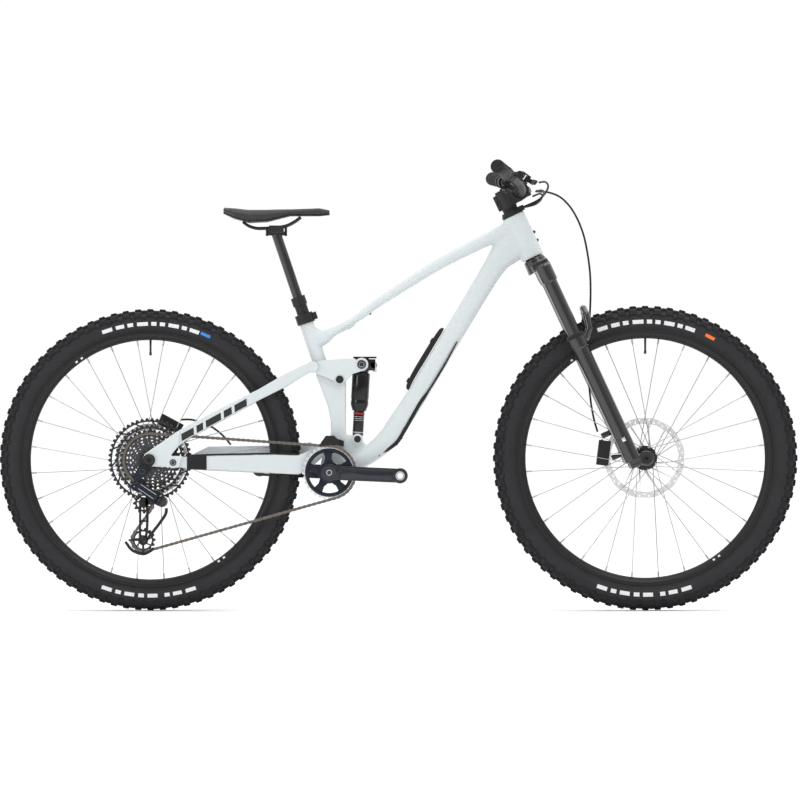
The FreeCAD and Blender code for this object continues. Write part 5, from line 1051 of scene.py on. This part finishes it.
def derailleur():
    """Cage plates with open windows, knuckles and links in dark blue, and a few machined details."""
    cage = Form()
    def plate(path, width, y0, y1):
        rings = []
        pts = smooth_path([Vector((x, 0, z)) for x, z in path], 6)
        for k, p in enumerate(pts):
            off = heading(pts, k).cross(Y)
            w = width(k / (len(pts) - 1)) / 2
            rings.append([bb(p.x + off.x * a, p.z + off.z * a, y) for a, y in ((-w, y0), (w, y0), (w, y1), (-w, y1))])
        cage.rings(rings)
    for y0, y1 in ((-48.2, -46.7), (-34.0, -32.5)):
        plate([(-452.0, -62.0), (-449.0, -100.0), (-450.0, -140.0), (-453.0, -160.0)], lambda t: 6.0, y0, y1)
        plate([(-466.5, -84.0), (-467.0, -120.0), (-467.0, -150.0), (-466.0, -158.0)], lambda t: 5.0, y0, y1)
        plate([(-503.4, -171.0), (-486.0, -192.0), (-459.4, -201.0), (-440.0, -193.0), (-433.1, -186.0)],
            lambda t: 7.5 - 3.0 * abs(t - 0.5), y0, y1)
        cage.washer(bb(*LOWER_JOCKEY), 12.5, 8.0, y0, y1)
        cage.washer(bb(*UPPER_JOCKEY), 12.5, 4.0, y0, y1)
        cage.box(bb(*LOWER_JOCKEY), X, Z, Y, (-2.5, -33, y0), (2.5, -10, y1))
        cage.box(bb(*LOWER_JOCKEY), X, Z, Y, (-36, -2, y0), (-10, 2.5, y1))
        cage.box(bb(-458.5, -120), X, Z, Y, (-10, -2.2, y0), (11, 2.2, y1))
    plate([(-401.5, -88.0), (-404.0, -103.0), (-420.0, -127.0), (-439.1, -151.5), (-450.0, -166.0)], lambda t: 7.5,
        -48.2, -46.0)
    plate([(-452.0, -72.0), (-430.0, -70.0), (-410.6, -72.0)], lambda t: 17.0, -48.2, -46.7)
    for spot in (UPPER_JOCKEY, LOWER_JOCKEY):
        cage.rod(bb(*spot, -49.4), bb(*spot, -31.5), 4.0)
    cage.rod(bb(*CAGE_PIVOT, -60), bb(*CAGE_PIVOT, -46.6), 5.0)
    hard_piece("derailleur_cage_skin", cage, SATIN_BLACK, "derailleur_cage", "crank_alloy", ("derailleur_cage",),
        edge=0.4)
    for node, voxel in (("derailleur_body", 0.8), ("derailleur_knuckle", 0.8), ("derailleur_outer_link", 0.6)):
        cast_from(node, NAVY_DARK, "crank_alloy", voxel, 3)
    caps = Form().spin(bb(*CAGE_PIVOT, -97.2), -Y, [(-1, 12.6), (1.4, 11.8), (1.4, 8.4), (0.2, 8.0), (0.2, 3.5),
        (1.4, 3.0)])
    hard_piece("derailleur_clutch_cap", caps, GLOSS_BLACK, "derailleur_knuckle", "crank_alloy", edge=0)
    edge = Form()
    for offset in (-6, 6):
        a = bb(-466 + offset * 0.55, -33.5 + offset * 0.83, -99.4)
        b = bb(-428 + offset * 0.55, -59.0 + offset * 0.83, -99.4)
        edge.rod(a, b, 0.9, sides=8)
    hard_piece("derailleur_link_lines", edge, STEEL, "derailleur_outer_link", "steel", edge=0)
    bolt_form = Form().spin(bb(*HANGER_BOLT, -106.2), -Y, [(-1, 8.4), (1.2, 7.6), (1.2, 4.4), (-0.5, 4.0)])
    hard_piece("derailleur_bolt", bolt_form, GLOSS_BLACK, "derailleur_body", "black_alloy", edge=0)


# ---- fork and cockpit trim ----
def bent_copy(node, mat):
    """A hose's own tube, copied as it lies and left fixed in the scene rather than tied to either body it runs
    between.
    """
    obj = copy_node(node, mat)
    shade(obj, 60)
    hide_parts(node)
    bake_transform(obj)


def fork_trim():
    seals = Form()
    for side in SIDES:
        seals.spin(steer(345, LEG_AHEAD, side * LEG_Y), UP, [(-3, 22.4), (3, 22.6), (6.5, 21.4), (8, 18.4), (8, 17.7),
            (-3, 17.7)])
    hard_piece("fork_seals", seals, RUBBER, "fork_lowers", "black_rubber", edge=0)
    caps = Form()
    for side in SIDES:
        caps.spin(steer(537, LEG_AHEAD, side * LEG_Y), UP, [(-2, 15.5), (2.5, 15.0), (4.0, 12.0), (4.0, 8.0),
            (2.0, 7.0)])
    hard_piece("fork_top_caps", caps, SATIN_BLACK, "steering", "black_alloy", edge=0)
    end = Form()
    spot = FRONT - Y * 0.0745
    end.spin(spot, -Y, [(-3, 13.0), (1.5, 13.0), (2.6, 11.4), (2.6, 6.2), (0.5, 5.6)])
    hard_piece("front_axle_cap", end, SATIN_BLACK, "fork_lowers", "black_alloy", edge=0)
    # Painted highlight: a small bright steel-coloured square on the outer face of each fork foot stands in for light
    # reflected by the gloss black leg; it is not a real part of the fork.
    patch = Form()
    for side in SIDES:
        patch.box(steer(66, 12, side * 86.5), AHEAD, UP, Y * side, (-4, -5, -1.5), (5, 5, 0.7))
    hard_piece("fork_foot_painted_highlight", patch, ROTOR_STEEL, "fork_lowers", "fork_gloss", edge=0.8)


def grips():
    low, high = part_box("grips")
    dress("grips", RUBBER)
    for side in SIDES:
        outer = (high.y if side == LEFT else -low.y)
        a = Vector((BB.x + 0.4079, side * outer, BB.z + 0.7422))
        inner = Vector((BB.x + 0.4325, side * (outer - 0.133), BB.z + 0.7300))
        way = (inner - a).normalized()
        ribs = Form()
        for k in range(26):
            d = 7 + 4.2 * k
            ribs.spin(a, way, [(d, 16.3), (d + 0.5, 17.1), (d + 1.9, 17.1), (d + 2.4, 16.3)], sides=36)
        hard_piece("grip_ribs_right" if side == RIGHT else "grip_ribs_left", ribs, RUBBER, "steering", "grip_rubber",
            edge=0)


def saddle():
    obj = copy_node("saddle_pad", SADDLE_BLACK)
    melt(obj, 2.2, 10)
    low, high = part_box("saddle_pad")
    for v in obj.data.vertices:
        share = (v.co.x - low.x) / (high.x - low.x)
        groove = math.exp(-(v.co.y / 0.011) ** 2) * math.sin(math.pi * min(1.0, max(0.0, share))) ** 0.7
        if v.co.z > (low.z + high.z) / 2:
            v.co.z -= 0.0045 * groove
    repaint(obj, SADDLE_BLACK)
    obj.data.shade_smooth()
    settle(obj, NODES["saddle_pad"]["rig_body"], "saddle_cover", "saddle_pad")


def cast_nodes():
    for node, mat, slot, voxel, passes in (("fork_crown", GLOSS_BLACK, "fork_gloss", 1.6, 3),
            ("fork_lowers", GLOSS_BLACK, "fork_gloss", 1.6, 5), ("chainstay", PAINT, "frame_paint", 1.7, 6),
            ("seatstay", PAINT, "frame_paint", 1.5, 5), ("rocker", PAINT, "frame_paint", 1.0, 4),
            ("stem", SATIN_BLACK, "black_alloy", 0.8, 2), ("brake_bodies", SATIN_BLACK, "black_alloy", 0.8, 3),
            ("remote_bodies", PLASTIC, "black_plastic", 0.8, 2), ("rear_brake_lever", SATIN_BLACK, "lever_alloy", 0.7,
            2), ("front_brake_lever", SATIN_BLACK, "lever_alloy", 0.7, 2),
            ("front_brake_caliper", SATIN_BLACK, "black_alloy", 0.7, 2),
            ("rear_brake_caliper", SATIN_BLACK, "black_alloy", 0.7, 2)):
        cast_from(node, mat, slot, voxel, passes)
    for mat, nodes in ((SATIN_BLACK, "pivots_and_bearings seat_clamp seatpost_outer handlebar dropper_lever"
        " front_axle rear_axle derailleur_hanger"), (GLOSS_BLACK, "fork_shafts seatpost_inner"),
        (PLASTIC, "chain_guide headset_cover steering_cables upshift_paddle downshift_paddle saddle_base"),
        (RUBBER, "chainstay_guard"), (NAVY_DARK, "derailleur_inner_link")):
        for node in nodes.split():
            dress(node, mat)
    bent_copy("front_brake_hose", PLASTIC)
    bent_copy("rear_brake_hose", PLASTIC)


camera()
stage()
wheels()
front_frame()
trim_pieces()
cast_nodes()
suspension_trim()
shock()
cassette()
chainring()
cranks()
chain()
jockeys()
derailleur()
fork_trim()
grips()
saddle()
